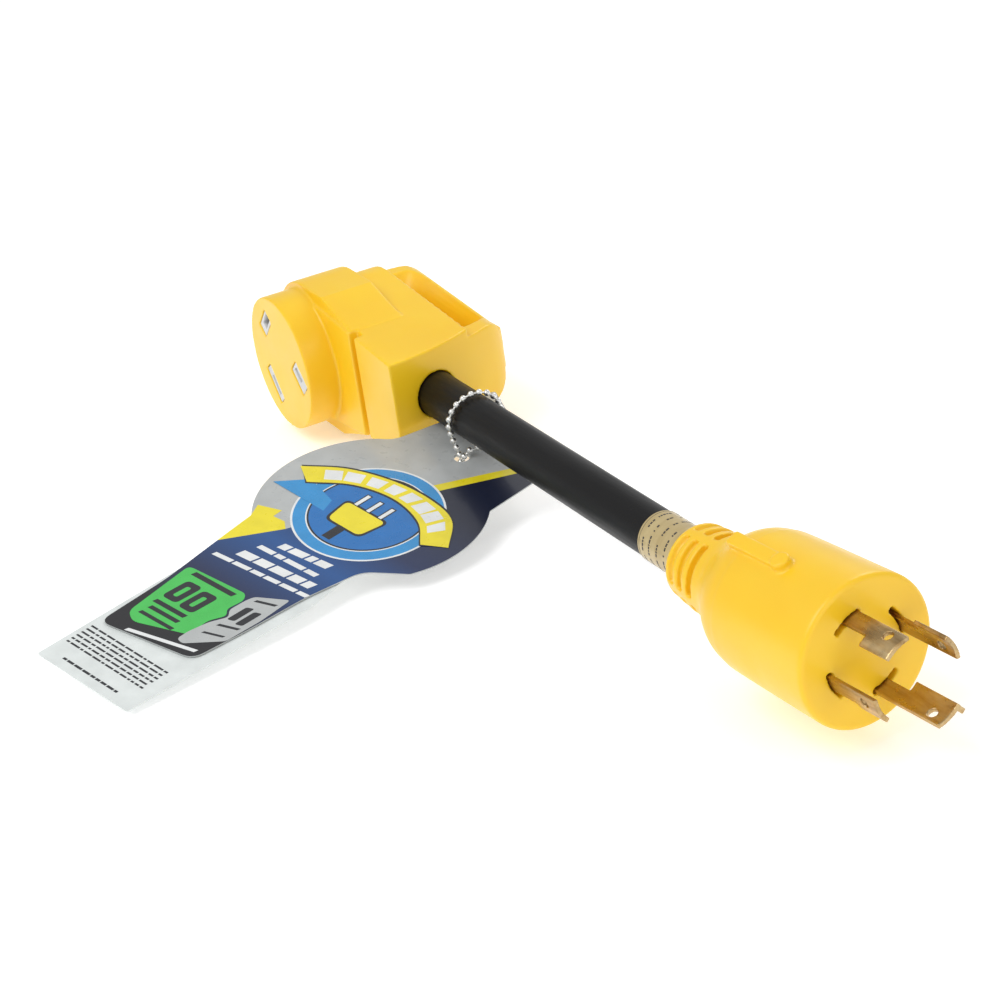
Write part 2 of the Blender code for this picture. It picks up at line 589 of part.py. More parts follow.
def make_tag(frame):
    """Front card with a round head on a strap, and a longer plain card behind it."""
    sides = (STRAP_RIGHT, STRAP_LEFT, TAG_TOP)
    right, left, top = ([(u * MM, w * MM) for u, w in points] for points in sides)
    head_right = arc_points(BULGE_MIDDLE, BULGE_R, *BULGE_RIGHT, 14)
    head_left = arc_points(BULGE_MIDDLE, BULGE_R, *BULGE_LEFT, 18)
    card("tag_front_card", right + head_right + top + head_left + left, 0.0, "card", frame)
    back = [(u * MM, w * MM) for u, w in BACK_OUTLINE]
    card("tag_back_card", back, -TAG_T - GAP, "paper", frame)


def make_chain():
    """Ball chain looped round the cable, both strands through the cards to a small clasp below them."""
    loop = arc_points((0, 0), CHAIN_LOOP_R / MM, 195, -12, 36)
    route = [*CHAIN_RISE, *loop, *CHAIN_RETURN]
    points = []
    for index, (y, z) in enumerate(route):
        across = CHAIN_OFFSET * (2 * index / (len(route) - 1) - 1)
        points.append(Vector((CHAIN_X + across, CABLE_Y + y * MM, z * MM)))
    fine = smooth_path(points)
    length = sum((b - a).length for a, b in zip(fine, fine[1:]))
    beads = round(length / BEAD_PITCH)
    samples = resample(fine, beads * 6 + 1)
    shape = (LINK_R, LINK_R, 0.95 * MM, BEAD_R, 0.95 * MM, LINK_R)
    radii = [shape[index % 6] for index in range(len(samples))]
    tube("ball_chain", samples, BEAD_R, "steel", sides=8, radii=radii)
    low, high = ((CHAIN_X, CABLE_Y + CLASP_Y, z) for z in CLASP_Z)
    add_object("chain_clasp", cylinder(CLASP_R, low, high, 16), "steel")


plug_frame = empty("plug_frame", PLUG_FRAME)
tag_frame = empty("tag_frame", TAG_FRAME)
make_head()
make_socket_core()
make_contacts()
make_plug(plug_frame)
make_plug_core(plug_frame)
make_blades(plug_frame)
make_cable()
make_tag(tag_frame)
make_chain()
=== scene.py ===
"""Looks of the short locking-plug adapter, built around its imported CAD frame.

Row frame, metres: origin at the centre of the outlet face, -Y out of the outlet, +X along the cable, +Z up.
"""
import math
import random

import bmesh
import bpy
from mathutils import Matrix, Vector


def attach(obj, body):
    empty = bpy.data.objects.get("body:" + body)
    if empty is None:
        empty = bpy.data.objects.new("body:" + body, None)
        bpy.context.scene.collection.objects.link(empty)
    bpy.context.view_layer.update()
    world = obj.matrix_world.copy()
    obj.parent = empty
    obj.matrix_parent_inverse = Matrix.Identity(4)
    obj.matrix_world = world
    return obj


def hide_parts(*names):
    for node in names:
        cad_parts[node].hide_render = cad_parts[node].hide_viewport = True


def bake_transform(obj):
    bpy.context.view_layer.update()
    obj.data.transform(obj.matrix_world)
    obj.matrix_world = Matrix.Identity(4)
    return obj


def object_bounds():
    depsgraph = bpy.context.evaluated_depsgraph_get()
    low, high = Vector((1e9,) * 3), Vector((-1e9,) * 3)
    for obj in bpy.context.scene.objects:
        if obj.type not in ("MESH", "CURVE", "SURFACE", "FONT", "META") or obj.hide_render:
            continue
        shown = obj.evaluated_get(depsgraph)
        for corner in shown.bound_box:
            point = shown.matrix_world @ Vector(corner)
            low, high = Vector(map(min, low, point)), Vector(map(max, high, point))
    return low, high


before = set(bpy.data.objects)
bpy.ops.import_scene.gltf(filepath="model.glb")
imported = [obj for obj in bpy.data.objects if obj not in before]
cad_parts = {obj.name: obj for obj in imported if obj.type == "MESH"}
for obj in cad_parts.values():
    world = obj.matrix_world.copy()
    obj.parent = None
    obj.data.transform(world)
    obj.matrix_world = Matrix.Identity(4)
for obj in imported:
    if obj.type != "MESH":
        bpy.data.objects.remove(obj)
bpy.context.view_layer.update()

MM = 0.001
CLEARANCE = 0.3 * MM                # gap between neighbouring pieces

# ---------------------------------------------------------------- sizes shared with the CAD model
NOSE_R = 27.0 * MM
NOSE_END_Y = 15.0 * MM
FLANGE_R = 29.4 * MM
FLANGE_Y = (14.0 * MM, 36.4 * MM)
FLANGE_SHOULDER = ((19.0, 29.0), (31.0, 25.2), (43.0, 21.8))
BODY_R = 25.4 * MM
BODY_Y = (13.0 * MM, 50.5 * MM)
NECK_X = 82.0 * MM
NECK_H = 18.2 * MM
GROOVE_X = (43.2 * MM, 47.8 * MM)
GROOVE_Y = 17.0 * MM
END_FACE = ((77.3, 12.0), (75.8, 26.0), (73.2, 38.0), (69.5, 48.6), (65.5, 57.5), (61.0, 65.5),
            (56.0, 70.5), (48.0, 73.6))
HANDLE_H = 15.5 * MM
HANDLE_FAR_Y = 75.0 * MM
HANDLE_CROWN = 3.2 * MM             # how far the handle's outer side falls away above and below its middle
HANDLE_LEFT_X = -23.0 * MM
BAR_FAR_Y = 74.0 * MM               # the handle bar's outer side at x = 0
BAR_SLANT = 0.0776                  # how fast it comes nearer along X
BAR_CORNER = 9.0 * MM
HOLE_MIDDLE = ((-9.5, 53.5), (8.0, 53.0), (34.0, 48.5), (59.0, 46.0), (56.5, 57.0), (50.0, 62.5),
               (-3.0, 63.5), (-9.5, 60.0))
HOLE_RIM = ((-16.0, 54.0), (8.0, 53.0), (34.0, 48.5), (58.0, 46.5), (57.0, 59.5), (52.0, 67.0),
            (-5.0, 71.6), (-16.0, 68.0))
FACE_SKIN = 1.5 * MM
CORE_R = 24.6 * MM
CHAMBER_X = (-14.5 * MM, 44.0 * MM)
CHAMBER_Y = (20.0 * MM, 43.5 * MM)
CHAMBER_Z = (-16.0 * MM, 18.8 * MM)
WAYS = (                            # x, z, window length, width and angle, slot width, length and shift
    (-9.5, 14.4, 11.4, 6.4, 46.0, 3.4, 7.6, 1.6),
    (17.2, -1.2, 12.0, 7.4, -48.0, 2.6, 6.4, -1.4),
    (-10.0, -11.7, 15.6, 5.2, -54.0, 1.7, 8.4, 0.6),
)

CABLE_Y = 32.1 * MM
CABLE_R = 8.6 * MM
CABLE_WALL = 2.5 * MM
CABLE_START_X = 46.0 * MM
CABLE_END_S = -65.5 * MM
JACKET_SIDES = 96
JACKET_STEP = 1.5 * MM              # between its rings
CABLE_JOIN_X = 150.0 * MM           # where the two halves of the jacket meet

PLUG_BEND = math.radians(4.2)
PLUG_PIVOT = (271.5 * MM, CABLE_Y)
PIVOT_S = -70.0 * MM
BEND_S = (-80.0 * MM, -60.0 * MM)
PLUG_OUTER = ((0.0, 23.6), (-0.35, 24.3), (-1.1, 24.75), (-39.0, 23.8), (-45.0, 23.3), (-49.5, 22.4),
              (-53.5, 20.7), (-57.0, 18.4), (-60.5, 16.1), (-63.8, 14.9), (-68.0, 14.3), (-74.0, 13.8),
              (-79.0, 13.4), (-82.9, 13.0), (-83.5, 12.3))
PLUG_INNER = ((-83.5, 8.9), (-64.0, 8.9), (-50.0, 18.9), (-6.0, 18.9))
RELIEF_GROOVES = (-79.8 * MM, -74.2 * MM, -68.6 * MM)
RELIEF_GROOVE_W = 2.8 * MM
SPINE_ANGLE = math.radians(105.0)
RIB_ANGLE = math.radians(110.0)
RIB_HALF = 0.10                     # radians
RIB_R = (20.0 * MM, 26.2 * MM)
RIB_S = (-50.0 * MM, -26.0 * MM)
RIB_END_R = 3.1 * MM
RIB_END_TOP = 27.0 * MM

BLADE_MID_R = 14.2 * MM
BLADE_T = 1.5 * MM
BLADE_PHASE = 25.75
BLADE_BACK = -24.0 * MM
BLADE_TURN = (-0.33, 0.09)          # radians from the middle of the slot, as are the next three
TAB_TURN = (0.0, 0.33)
FIN_TURN = (0.225, 0.325)
SLOT_TURN = (-0.37, 0.37)
BLADE_CENTRE = -0.12                # the middle of BLADE_TURN
BLADE_HOLE_R = 1.6 * MM
BLADE_HOLE_BACK = 5.5 * MM          # from the blade's tip
TAB_START = 9.8 * MM
FIN_START = 12.0 * MM
FIN_R = 18.5 * MM
BLADES = (("line_2", 0, 24.0 * MM), ("line", 1, 22.0 * MM),
          ("neutral", 2, 20.5 * MM), ("ground", 3, 28.0 * MM))
BARREL_R = 2.9 * MM
BARREL_BORE_R = 1.9 * MM

LABEL_S = (-106.5 * MM, -84.1 * MM)
LABEL_ROWS = (-105.6, -103.4, -99.6, -95.0, -90.6)     # s in mm; the first is a solid line
LABEL_R = CABLE_R / MM + 0.06       # mm
LABEL_WALL = 0.35                   # mm

TAG_FOOT = Vector((137.5, -116.0, -22.5)) * MM
TAG_ROTATION = (math.radians(3.6), math.radians(11.3), math.radians(16.7))
TAG_T = 0.5 * MM
BULGE_R = 42.9 * MM
BULGE_MIDDLE = (3.2 * MM, 102.0 * MM)
BULGE_RIGHT = (-25.0, 38.0)
BULGE_LEFT = (135.0, 228.0)
STRAP_RIGHT = ((20.8, 3.6), (23.0, 25.0), (24.6, 51.0), (28.5, 73.5))
STRAP_LEFT = ((-25.0, 66.0), (-23.2, 52.0), (-19.6, 26.0), (-18.4, -4.6))
TAG_TOP = ((36.5, 153.0), (34.0, 158.0), (-6.5, 180.0), (-15.5, 184.6), (-16.5, 182.0), (-14.5, 165.0),
           (-17.5, 151.5), (-21.0, 137.0))
TAG_CORNER = 4.5 * MM
PRINT_SPAN = 157.0 * MM             # length over which the printed field changes tone
HOLE_U, HOLE_W, HOLE_R = 5.8 * MM, 145.3 * MM, 3.0 * MM
BACK_OUTLINE = ((-21.5, -29.0), (24.5, -27.5), (29.0, 48.0), (16.0, 149.5), (-9.0, 149.5), (-21.5, 60.0))

CHAIN_X = 103.0 * MM
CHAIN_LOOP_R = 10.3 * MM
BEAD_R = 1.2 * MM
LINK_R = 0.4 * MM
BEAD_PITCH = 3.3 * MM
CHAIN_RISE = ((-7.1, -16.7), (-7.3, -13.0), (-9.0, -7.2))
CHAIN_RETURN = ((9.2, -6.6), (5.6, -10.2), (0.5, -11.6), (-4.6, -11.9), (-6.9, -13.8), (-7.1, -16.7))
CHAIN_OFFSET = 1.35 * MM            # the two strands pass the tag's hole side by side
CHAIN_LEAN = 3.6 * MM               # the loop slants along the cable
CLASP_Y = -7.1 * MM
CLASP_Z = (-21.4 * MM, -17.1 * MM)

# Looks
REMESH = 0.5 * MM                   # grid of the moulded pieces, which the smoothing then rounds
SMOOTH_ROUNDS = 6


# ---------------------------------------------------------------- camera, light and floor
CAMERA_AZIMUTH, CAMERA_ELEVATION, CAMERA_ROLL = (math.radians(a) for a in (65.320, 25.281, -8.565))
CAMERA_DISTANCE = 1.0194
CAMERA_SHIFT = (-0.08635, 0.05374)  # the row frame's origin from the middle of the view, right and up
CAMERA_LENS = 93.19
CAMERA_SENSOR = 36.0


def camera_axes():
    """Right, up and backward directions of the camera."""
    a, e, r = CAMERA_AZIMUTH, CAMERA_ELEVATION, CAMERA_ROLL
    back = Vector((math.sin(a) * math.cos(e), -math.cos(a) * math.cos(e), math.sin(e)))
    level = Vector((math.cos(a), math.sin(a), 0.0))
    upright = back.cross(level)
    right = level * math.cos(r) + upright * math.sin(r)
    up = upright * math.cos(r) - level * math.sin(r)
    return right, up, back


def make_camera():
    """The camera at the photograph's angle."""
    right, up, back = camera_axes()
    place = back * CAMERA_DISTANCE - right * CAMERA_SHIFT[0] - up * CAMERA_SHIFT[1]
    data = bpy.data.cameras.new("camera")
    data.sensor_width = CAMERA_SENSOR
    data.lens = CAMERA_LENS
    data.clip_start = 0.01
    camera = bpy.data.objects.new("camera", data)
    bpy.context.scene.collection.objects.link(camera)
    turn = Matrix((right, up, back)).transposed().to_4x4()
    camera.matrix_world = Matrix.Translation(place) @ turn
    bpy.context.scene.camera = camera


def area_light(name, place, target, size, power, colour=(1.0, 1.0, 1.0)):
    """A soft square light aimed at a point."""
    data = bpy.data.lights.new(name, "AREA")
    data.energy = power
    data.size = size
    data.color = colour
    light = bpy.data.objects.new(name, data)
    bpy.context.scene.collection.objects.link(light)
    aim = Vector(target) - Vector(place)
    light.matrix_world = Matrix.Translation(place) @ aim.to_track_quat("-Z", "Y").to_matrix().to_4x4()


def make_studio():
    """Plain pale floor, bright even surroundings and three soft lights."""
    floor_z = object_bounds()[0][2]
    bm = bmesh.new()
    bmesh.ops.create_circle(bm, cap_ends=True, segments=64, radius=4.0)
    mesh = bpy.data.meshes.new("floor")
    bm.to_mesh(mesh)
    bm.free()
    floor = bpy.data.objects.new("floor", mesh)
    floor.location = (0.15, 0.0, floor_z - 0.2 * MM)
    bpy.context.scene.collection.objects.link(floor)
    paper = bpy.data.materials.new("floor_paper")
    paper.use_nodes = True
    shader = paper.node_tree.nodes["Principled BSDF"]
    shader.inputs["Base Color"].default_value = (0.93, 0.93, 0.93, 1.0)
    shader.inputs["Roughness"].default_value = 0.9
    shader.inputs["Specular IOR Level"].default_value = 0.1
    shader.inputs["Emission Color"].default_value = (1.0, 1.0, 1.0, 1.0)
    shader.inputs["Emission Strength"].default_value = 0.30
    mesh.materials.append(paper)

    world = bpy.data.worlds.new("studio")
    world.use_nodes = True
    world.node_tree.nodes["Background"].inputs["Color"].default_value = (1.0, 1.0, 1.0, 1.0)
    world.node_tree.nodes["Background"].inputs["Strength"].default_value = 0.56
    bpy.context.scene.world = world
    middle = (0.15, 0.0, 0.0)
    area_light("key", (0.15, -0.75, 1.0), middle, 0.8, 7.5)
    area_light("fill", (1.2, 0.1, 0.5), middle, 0.9, 2.6)
    area_light("back", (-0.3, 0.9, 0.8), middle, 0.7, 4.2)
    bpy.context.scene.view_settings.view_transform = "Standard"


# ---------------------------------------------------------------- mesh helpers
def link(name, bm):
    """A new object in the scene from a bmesh, smooth shaded."""
    mesh = bpy.data.meshes.new(name)
    bm.to_mesh(mesh)
    bm.free()
    mesh.shade_smooth()
    made = bpy.data.objects.new(name, mesh)
    bpy.context.scene.collection.objects.link(made)
    return made


def moved(x, y, z):
    """The matrix of a move."""
    return Matrix.Translation((x, y, z))


def transformed(bm, matrix):
    """Move a bmesh by a matrix."""
    bmesh.ops.transform(bm, matrix=matrix, verts=bm.verts)
    return bm


def merge(target, source):
    """Move one bmesh's faces into another."""
    mesh = bpy.data.meshes.new("merged")
    source.to_mesh(mesh)
    source.free()
    target.from_mesh(mesh)
    bpy.data.meshes.remove(mesh)


def cylinder(radius, start, end, segments=96):
    """A closed cylinder between two points."""
    start, end = Vector(start), Vector(end)
    bm = bmesh.new()
    bmesh.ops.create_cone(bm, cap_ends=True, segments=segments, radius1=radius, radius2=radius,
                          depth=(end - start).length)
    turn = (end - start).to_track_quat("Z", "Y").to_matrix().to_4x4()
    return transformed(bm, Matrix.Translation((start + end) / 2) @ turn)


def box(low, high):
    """A closed box between two corners."""
    low, high = Vector(low), Vector(high)
    bm = bmesh.new()
    bmesh.ops.create_cube(bm, size=1.0)
    bmesh.ops.scale(bm, vec=high - low, verts=bm.verts)
    bmesh.ops.translate(bm, vec=(low + high) / 2, verts=bm.verts)
    return bm


def prism(outline, depth, matrix=Matrix()):
    """A flat outline of (x, y) points, thickened by depth along its own +Z and then placed."""
    bm = bmesh.new()
    face = bm.faces.new([bm.verts.new((x, y, 0.0)) for x, y in outline])
    grown = bmesh.ops.extrude_face_region(bm, geom=[face])["geom"]
    top = [item for item in grown if isinstance(item, bmesh.types.BMVert)]
    bmesh.ops.translate(bm, vec=(0.0, 0.0, depth), verts=top)
    bmesh.ops.transform(bm, matrix=matrix, verts=bm.verts)
    bmesh.ops.recalc_face_normals(bm, faces=bm.faces)
    return bm


def arc_points(centre, radius, start, end, count):
    """Points on an arc, angles in degrees."""
    angles = [math.radians(start + (end - start) * i / (count - 1)) for i in range(count)]
    return [(centre[0] + radius * math.cos(a), centre[1] + radius * math.sin(a)) for a in angles]


def rounded_outline(corners, radius, steps=6):
    """The outline of straight sides through the corners, each corner rounded off."""
    result = []
    for before, here, after in zip(corners[-1:] + corners[:-1], corners, corners[1:] + corners[:1]):
        here, before, after = Vector(here), Vector(before), Vector(after)
        reach = min(radius, (before - here).length * 0.45, (after - here).length * 0.45)
        first = here + (before - here).normalized() * reach
        last = here + (after - here).normalized() * reach
        for step in range(steps + 1):
            t = step / steps
            result.append(tuple(first * (1 - t) ** 2 + here * 2 * t * (1 - t) + last * t * t))
    return result


def smooth_line(points, steps=8):
    """Closely spaced points on a smooth curve through the given ones."""
    points = [Vector(p) for p in points]
    padded = [2 * points[0] - points[1], *points, 2 * points[-1] - points[-2]]
    fine = []
    for a, b, c, d in zip(padded, padded[1:], padded[2:], padded[3:]):
        for step in range(steps):
            t = step / steps
            fine.append(0.5 * (2 * b + (c - a) * t + (2 * a - 5 * b + 4 * c - d) * t * t
                               + (3 * b - a - 3 * c + d) * t ** 3))
    return [*fine, points[-1]]


def resample(points, count):
    """count points at equal distances along a polyline."""
    lengths = [0.0]
    for a, b in zip(points, points[1:]):
        lengths.append(lengths[-1] + (b - a).length)
    result = []
    index = 0
    for step in range(count):
        target = lengths[-1] * step / (count - 1)
        while index < len(points) - 2 and lengths[index + 1] < target:
            index += 1
        span = lengths[index + 1] - lengths[index]
        result.append(points[index].lerp(points[index + 1], (target - lengths[index]) / span))
    return result


def arc_block(radii, angles, stretch, steps=24):
    """A curved strip about the X axis, from its radii, its angles in radians and its stretch of X."""
    bm = bmesh.new()
    bmesh.ops.create_cube(bm, size=1.0)
    along = [e for e in bm.edges if abs(e.verts[0].co.y - e.verts[1].co.y) > 0.5]
    bmesh.ops.subdivide_edges(bm, edges=along, cuts=steps - 1, use_grid_fill=True)
    for vert in bm.verts:
        share = vert.co + Vector((0.5, 0.5, 0.5))
        radius = radii[0] + (radii[1] - radii[0]) * share.z
        angle = angles[0] + (angles[1] - angles[0]) * share.y
        along_x = stretch[0] + (stretch[1] - stretch[0]) * share.x
        vert.co = Vector((along_x, radius * math.cos(angle), radius * math.sin(angle)))
    bmesh.ops.reverse_faces(bm, faces=bm.faces)
    return bm


def spin_profile(profile, steps, closed=False):
    """Turn (s, r) points in mm once round the X axis."""
    bm = bmesh.new()
    verts = [bm.verts.new((s * MM, r * MM, 0.0)) for s, r in profile]
    pairs = list(zip(verts, verts[1:])) + ([(verts[-1], verts[0])] if closed else [])
    edges = [bm.edges.new(pair) for pair in pairs]
    bmesh.ops.spin(bm, geom=verts + edges, cent=(0, 0, 0), axis=(1, 0, 0), angle=math.tau, steps=steps,
                   use_merge=True)
    bmesh.ops.remove_doubles(bm, verts=bm.verts, dist=0.000005)
    bmesh.ops.recalc_face_normals(bm, faces=bm.faces)
    return bm


def evaluated(obj):
    """Apply an object's modifiers to its mesh."""
    graph = bpy.context.evaluated_depsgraph_get()
    mesh = bpy.data.meshes.new_from_object(obj.evaluated_get(graph))
    old = obj.data
    obj.modifiers.clear()
    obj.data = mesh
    bpy.data.meshes.remove(old)
    return obj


def shaped(name, base, tools):
    """Join and cut a bmesh with (operation, bmesh) tools in turn; returns an object with its mesh applied."""
    made = link(name, base)
    used = []
    for index, (operation, bm) in enumerate(tools):
        tool = link(f"{name}_tool_{index}", bm)
        used.append(tool)
        modifier = made.modifiers.new(f"step_{index}", "BOOLEAN")
        modifier.object = tool
        modifier.operation = operation
        modifier.solver = "EXACT"
    evaluated(made)
    for tool in used:
        mesh = tool.data
        bpy.data.objects.remove(tool)
        bpy.data.meshes.remove(mesh)
    return made


def mesh_of(obj):
    """Take an object's mesh as a bmesh and remove the object."""
    bm = bmesh.new()
    bm.from_mesh(obj.data)
    bpy.data.objects.remove(obj)
    return bm


def soften(obj, voxel=REMESH, rounds=SMOOTH_ROUNDS):
    """Round every edge as a mould does: a fine regular mesh, smoothed."""
    remesh = obj.modifiers.new("remesh", "REMESH")
    remesh.mode = "VOXEL"
    remesh.voxel_size = voxel
    smooth = obj.modifiers.new("smooth", "SMOOTH")
    smooth.factor = 0.5
    smooth.iterations = rounds
    evaluated(obj)
    obj.data.shade_smooth()
    return obj


# Planes for a prism: its outline as (x, z) with depth along +Y, and as (y, z) with depth along +X
XZ_PLANE = Matrix(((1, 0, 0, 0), (0, 0, 1, 0), (0, 1, 0, 0), (0, 0, 0, 1)))
YZ_PLANE = Matrix(((0, 0, 1, 0), (1, 0, 0, 0), (0, 1, 0, 0), (0, 0, 0, 1)))
PLUG_FRAME = (moved(*PLUG_PIVOT, 0.0) @ Matrix.Rotation(PLUG_BEND, 4, "Z")
              @ moved(-PIVOT_S, 0.0, 0.0))
# The plug's frame turned back in line with the cable
CABLE_FRAME = (PLUG_FRAME @ moved(PIVOT_S, 0.0, 0.0) @ Matrix.Rotation(-PLUG_BEND, 4, "Z")
               @ moved(-PIVOT_S, 0.0, 0.0))
TAG_FRAME = Matrix.Translation(TAG_FOOT) @ (
    Matrix.Rotation(TAG_ROTATION[2], 4, "Z") @ Matrix.Rotation(TAG_ROTATION[1], 4, "Y")
    @ Matrix.Rotation(TAG_ROTATION[0], 4, "X"))


def bend(point):
    """Turn the plug's rear stretch back in line with the cable, smoothly over BEND_S."""
    share = min(max((BEND_S[1] - point.x) / (BEND_S[1] - BEND_S[0]), 0.0), 1.0)
    share = share * share * (3 - 2 * share)
    pivot = Vector((PIVOT_S, 0.0, 0.0))
    return pivot + Matrix.Rotation(-PLUG_BEND * share, 3, "Z") @ (Vector(point) - pivot)


def s_of_x(x):
    """The plug frame's s value of a place x on the straight stretch of cable."""
    return PIVOT_S - (PLUG_PIVOT[0] - x)


# ---------------------------------------------------------------- materials
def new_material(name, colour, roughness, metallic=0.0, **sockets):
    """A Principled material; extra sockets are set by name with _ for spaces."""
    made = bpy.data.materials.new(name)
    made.use_nodes = True
    shader = made.node_tree.nodes["Principled BSDF"]
    shader.inputs["Base Color"].default_value = (*colour, 1.0)
    shader.inputs["Roughness"].default_value = roughness
    shader.inputs["Metallic"].default_value = metallic
    for key, value in sockets.items():
        shader.inputs[key.replace("_", " ")].default_value = value
    return made, made.node_tree, shader


def noise(tree, scale, detail=3.0, roughness=0.5, stretch=None):
    """A noise texture in the object's own coordinates; stretch squeezes it along axes."""
    coords = tree.nodes.new("ShaderNodeTexCoord")
    node = tree.nodes.new("ShaderNodeTexNoise")
    node.inputs["Scale"].default_value = scale
    node.inputs["Detail"].default_value = detail
    node.inputs["Roughness"].default_value = roughness
    if stretch:
        mapping = tree.nodes.new("ShaderNodeMapping")
        mapping.inputs["Scale"].default_value = stretch
        tree.links.new(coords.outputs["Object"], mapping.inputs["Vector"])
        tree.links.new(mapping.outputs["Vector"], node.inputs["Vector"])
    else:
        tree.links.new(coords.outputs["Object"], node.inputs["Vector"])
    return node.outputs["Fac"]


def ramp(tree, value, stops):
    """A colour ramp of (position, colour) stops; a number stands for a grey."""
    node = tree.nodes.new("ShaderNodeValToRGB")
    elements = node.color_ramp.elements
    while len(elements) < len(stops):
        elements.new(0.5)
    for element, (position, colour) in zip(elements, stops):
        element.position = position
        element.color = (*((colour,) * 3 if isinstance(colour, float) else colour), 1.0)
    tree.links.new(value, node.inputs["Fac"])
    return node.outputs["Color"]


def drive(tree, shader, socket, value, stops):
    """Let a value set one of the shader's inputs through a ramp."""
    tree.links.new(ramp(tree, value, stops), shader.inputs[socket])


def bump(tree, shader, height, strength, distance, normal=None):
    """Bump from a height value."""
    node = tree.nodes.new("ShaderNodeBump")
    node.inputs["Strength"].default_value = strength
    node.inputs["Distance"].default_value = distance
    tree.links.new(height, node.inputs["Height"])
    if normal:
        tree.links.new(normal, node.inputs["Normal"])
    tree.links.new(node.outputs["Normal"], shader.inputs["Normal"])
    return node.outputs["Normal"]


def mixed(tree, share, first, second):
    """Blend two colours by a share between 0 and 1."""
    node = tree.nodes.new("ShaderNodeMix")
    node.data_type = "RGBA"
    tree.links.new(share, node.inputs["Factor"])
    for value, socket in ((first, node.inputs["A"]), (second, node.inputs["B"])):
        if isinstance(value, tuple):
            socket.default_value = (*value, 1.0)
        else:
            tree.links.new(value, socket)
    return node.outputs["Result"]


def yellow_vinyl(name, light, deep):
    """Moulded PVC: slightly uneven yellow with a fine orange-peel surface and soft gloss."""
    made, tree, shader = new_material(name, light, 0.36, Coat_Weight=0.12, Coat_Roughness=0.25,
                                      Subsurface_Weight=0.12, Subsurface_Scale=0.004, Specular_IOR_Level=0.5)
    shader.inputs["Subsurface Radius"].default_value = (1.0, 0.5, 0.1)
    drive(tree, shader, "Base Color", noise(tree, 22.0, 3.0), ((0.3, deep), (0.7, light)))
    drive(tree, shader, "Roughness", noise(tree, 60.0, 4.0), ((0.3, 0.30), (0.75, 0.46)))
    peel = bump(tree, shader, noise(tree, 900.0, 2.0), 0.10, 0.0002)
    bump(tree, shader, noise(tree, 90.0, 2.0), 0.12, 0.0010, peel)
    return made


def black_rubber():
    """Cable jacket: matt black, lengthwise drag marks, dusty scuffs and specks."""
    made, tree, shader = new_material("jacket_rubber", (0.0035, 0.0035, 0.004), 0.38, Specular_IOR_Level=0.22)
    specks = ramp(tree, noise(tree, 520.0, 5.0, 0.75), ((0.62, 0.0), (0.74, 1.0)))
    patches = ramp(tree, noise(tree, 28.0, 3.0, 0.6, (0.45, 1.0, 1.0)), ((0.46, 0.0), (0.68, 1.0)))
    both = tree.nodes.new("ShaderNodeMath")
    both.operation = "MULTIPLY"
    tree.links.new(specks, both.inputs[0])
    tree.links.new(patches, both.inputs[1])
    dusty = mixed(tree, both.outputs["Value"], (0.0035, 0.0035, 0.004), (0.05, 0.05, 0.055))
    tree.links.new(dusty, shader.inputs["Base Color"])
    drag = noise(tree, 260.0, 4.0, 0.6, (0.08, 1.0, 1.0))
    drive(tree, shader, "Roughness", drag, ((0.3, 0.34), (0.7, 0.56)))
    fine = bump(tree, shader, noise(tree, 1500.0, 3.0), 0.18, 0.0002)
    bump(tree, shader, drag, 0.2, 0.0004, fine)
    return made


def aged_brass():
    """Plug blades: brass with brown tarnish, lengthwise rub marks and darker blotches."""
    made, tree, shader = new_material("aged_brass", (0.5, 0.33, 0.14), 0.3, 1.0)
    blotch = ramp(tree, noise(tree, 130.0, 5.0, 0.6, (0.6, 1.0, 1.0)),
                  ((0.28, (0.20, 0.12, 0.055)), (0.5, (0.42, 0.26, 0.10)), (0.72, (0.62, 0.46, 0.22))))
    streak = ramp(tree, noise(tree, 420.0, 3.0, 0.6, (0.10, 1.0, 1.0)), ((0.35, 0.0), (0.75, 1.0)))
    worn = mixed(tree, streak, blotch, (0.58, 0.44, 0.24))
    tree.links.new(worn, shader.inputs["Base Color"])
    drive(tree, shader, "Roughness", noise(tree, 240.0, 4.0), ((0.3, 0.22), (0.7, 0.42)))
    bump(tree, shader, noise(tree, 700.0, 4.0, 0.6, (0.15, 1.0, 1.0)), 0.16, 0.0002)
    return made


def plain_plastic(name, colour, roughness=0.45, grain=1200.0, **sockets):
    """Moulded plastic or card with slight unevenness of tone and a fine grain."""
    made, tree, shader = new_material(name, colour, roughness, **sockets)
    darker = tuple(c * 0.88 for c in colour)
    drive(tree, shader, "Base Color", noise(tree, 120.0, 4.0), ((0.3, darker), (0.7, colour)))
    drive(tree, shader, "Roughness", noise(tree, 300.0, 3.0),
          ((0.3, roughness - 0.07), (0.7, roughness + 0.07)))
    bump(tree, shader, noise(tree, grain, 2.0), 0.08, 0.0002)
    return made


def metal(name, colour, roughness):
    """Plain metal with fine wear."""
    made, tree, shader = new_material(name, colour, roughness, 1.0)
    darker = tuple(c * 0.7 for c in colour)
    drive(tree, shader, "Base Color", noise(tree, 500.0, 4.0), ((0.3, darker), (0.6, colour)))
    drive(tree, shader, "Roughness", noise(tree, 900.0, 3.0),
          ((0.3, roughness * 0.7), (0.7, roughness * 1.5)))
    return made


def banded_film():
    """Tan film round the cable: slightly metallic, uneven in tone, with a soft sheen."""
    made, tree, shader = new_material("band_film", (0.50, 0.38, 0.17), 0.34, 0.25, Coat_Weight=0.3)
    drive(tree, shader, "Base Color", noise(tree, 160.0, 4.0, 0.6, (1.0, 0.3, 0.3)),
          ((0.3, (0.42, 0.31, 0.13)), (0.7, (0.58, 0.46, 0.23))))
    drive(tree, shader, "Roughness", noise(tree, 400.0, 3.0), ((0.3, 0.28), (0.7, 0.42)))
    return made


MATERIALS = {}


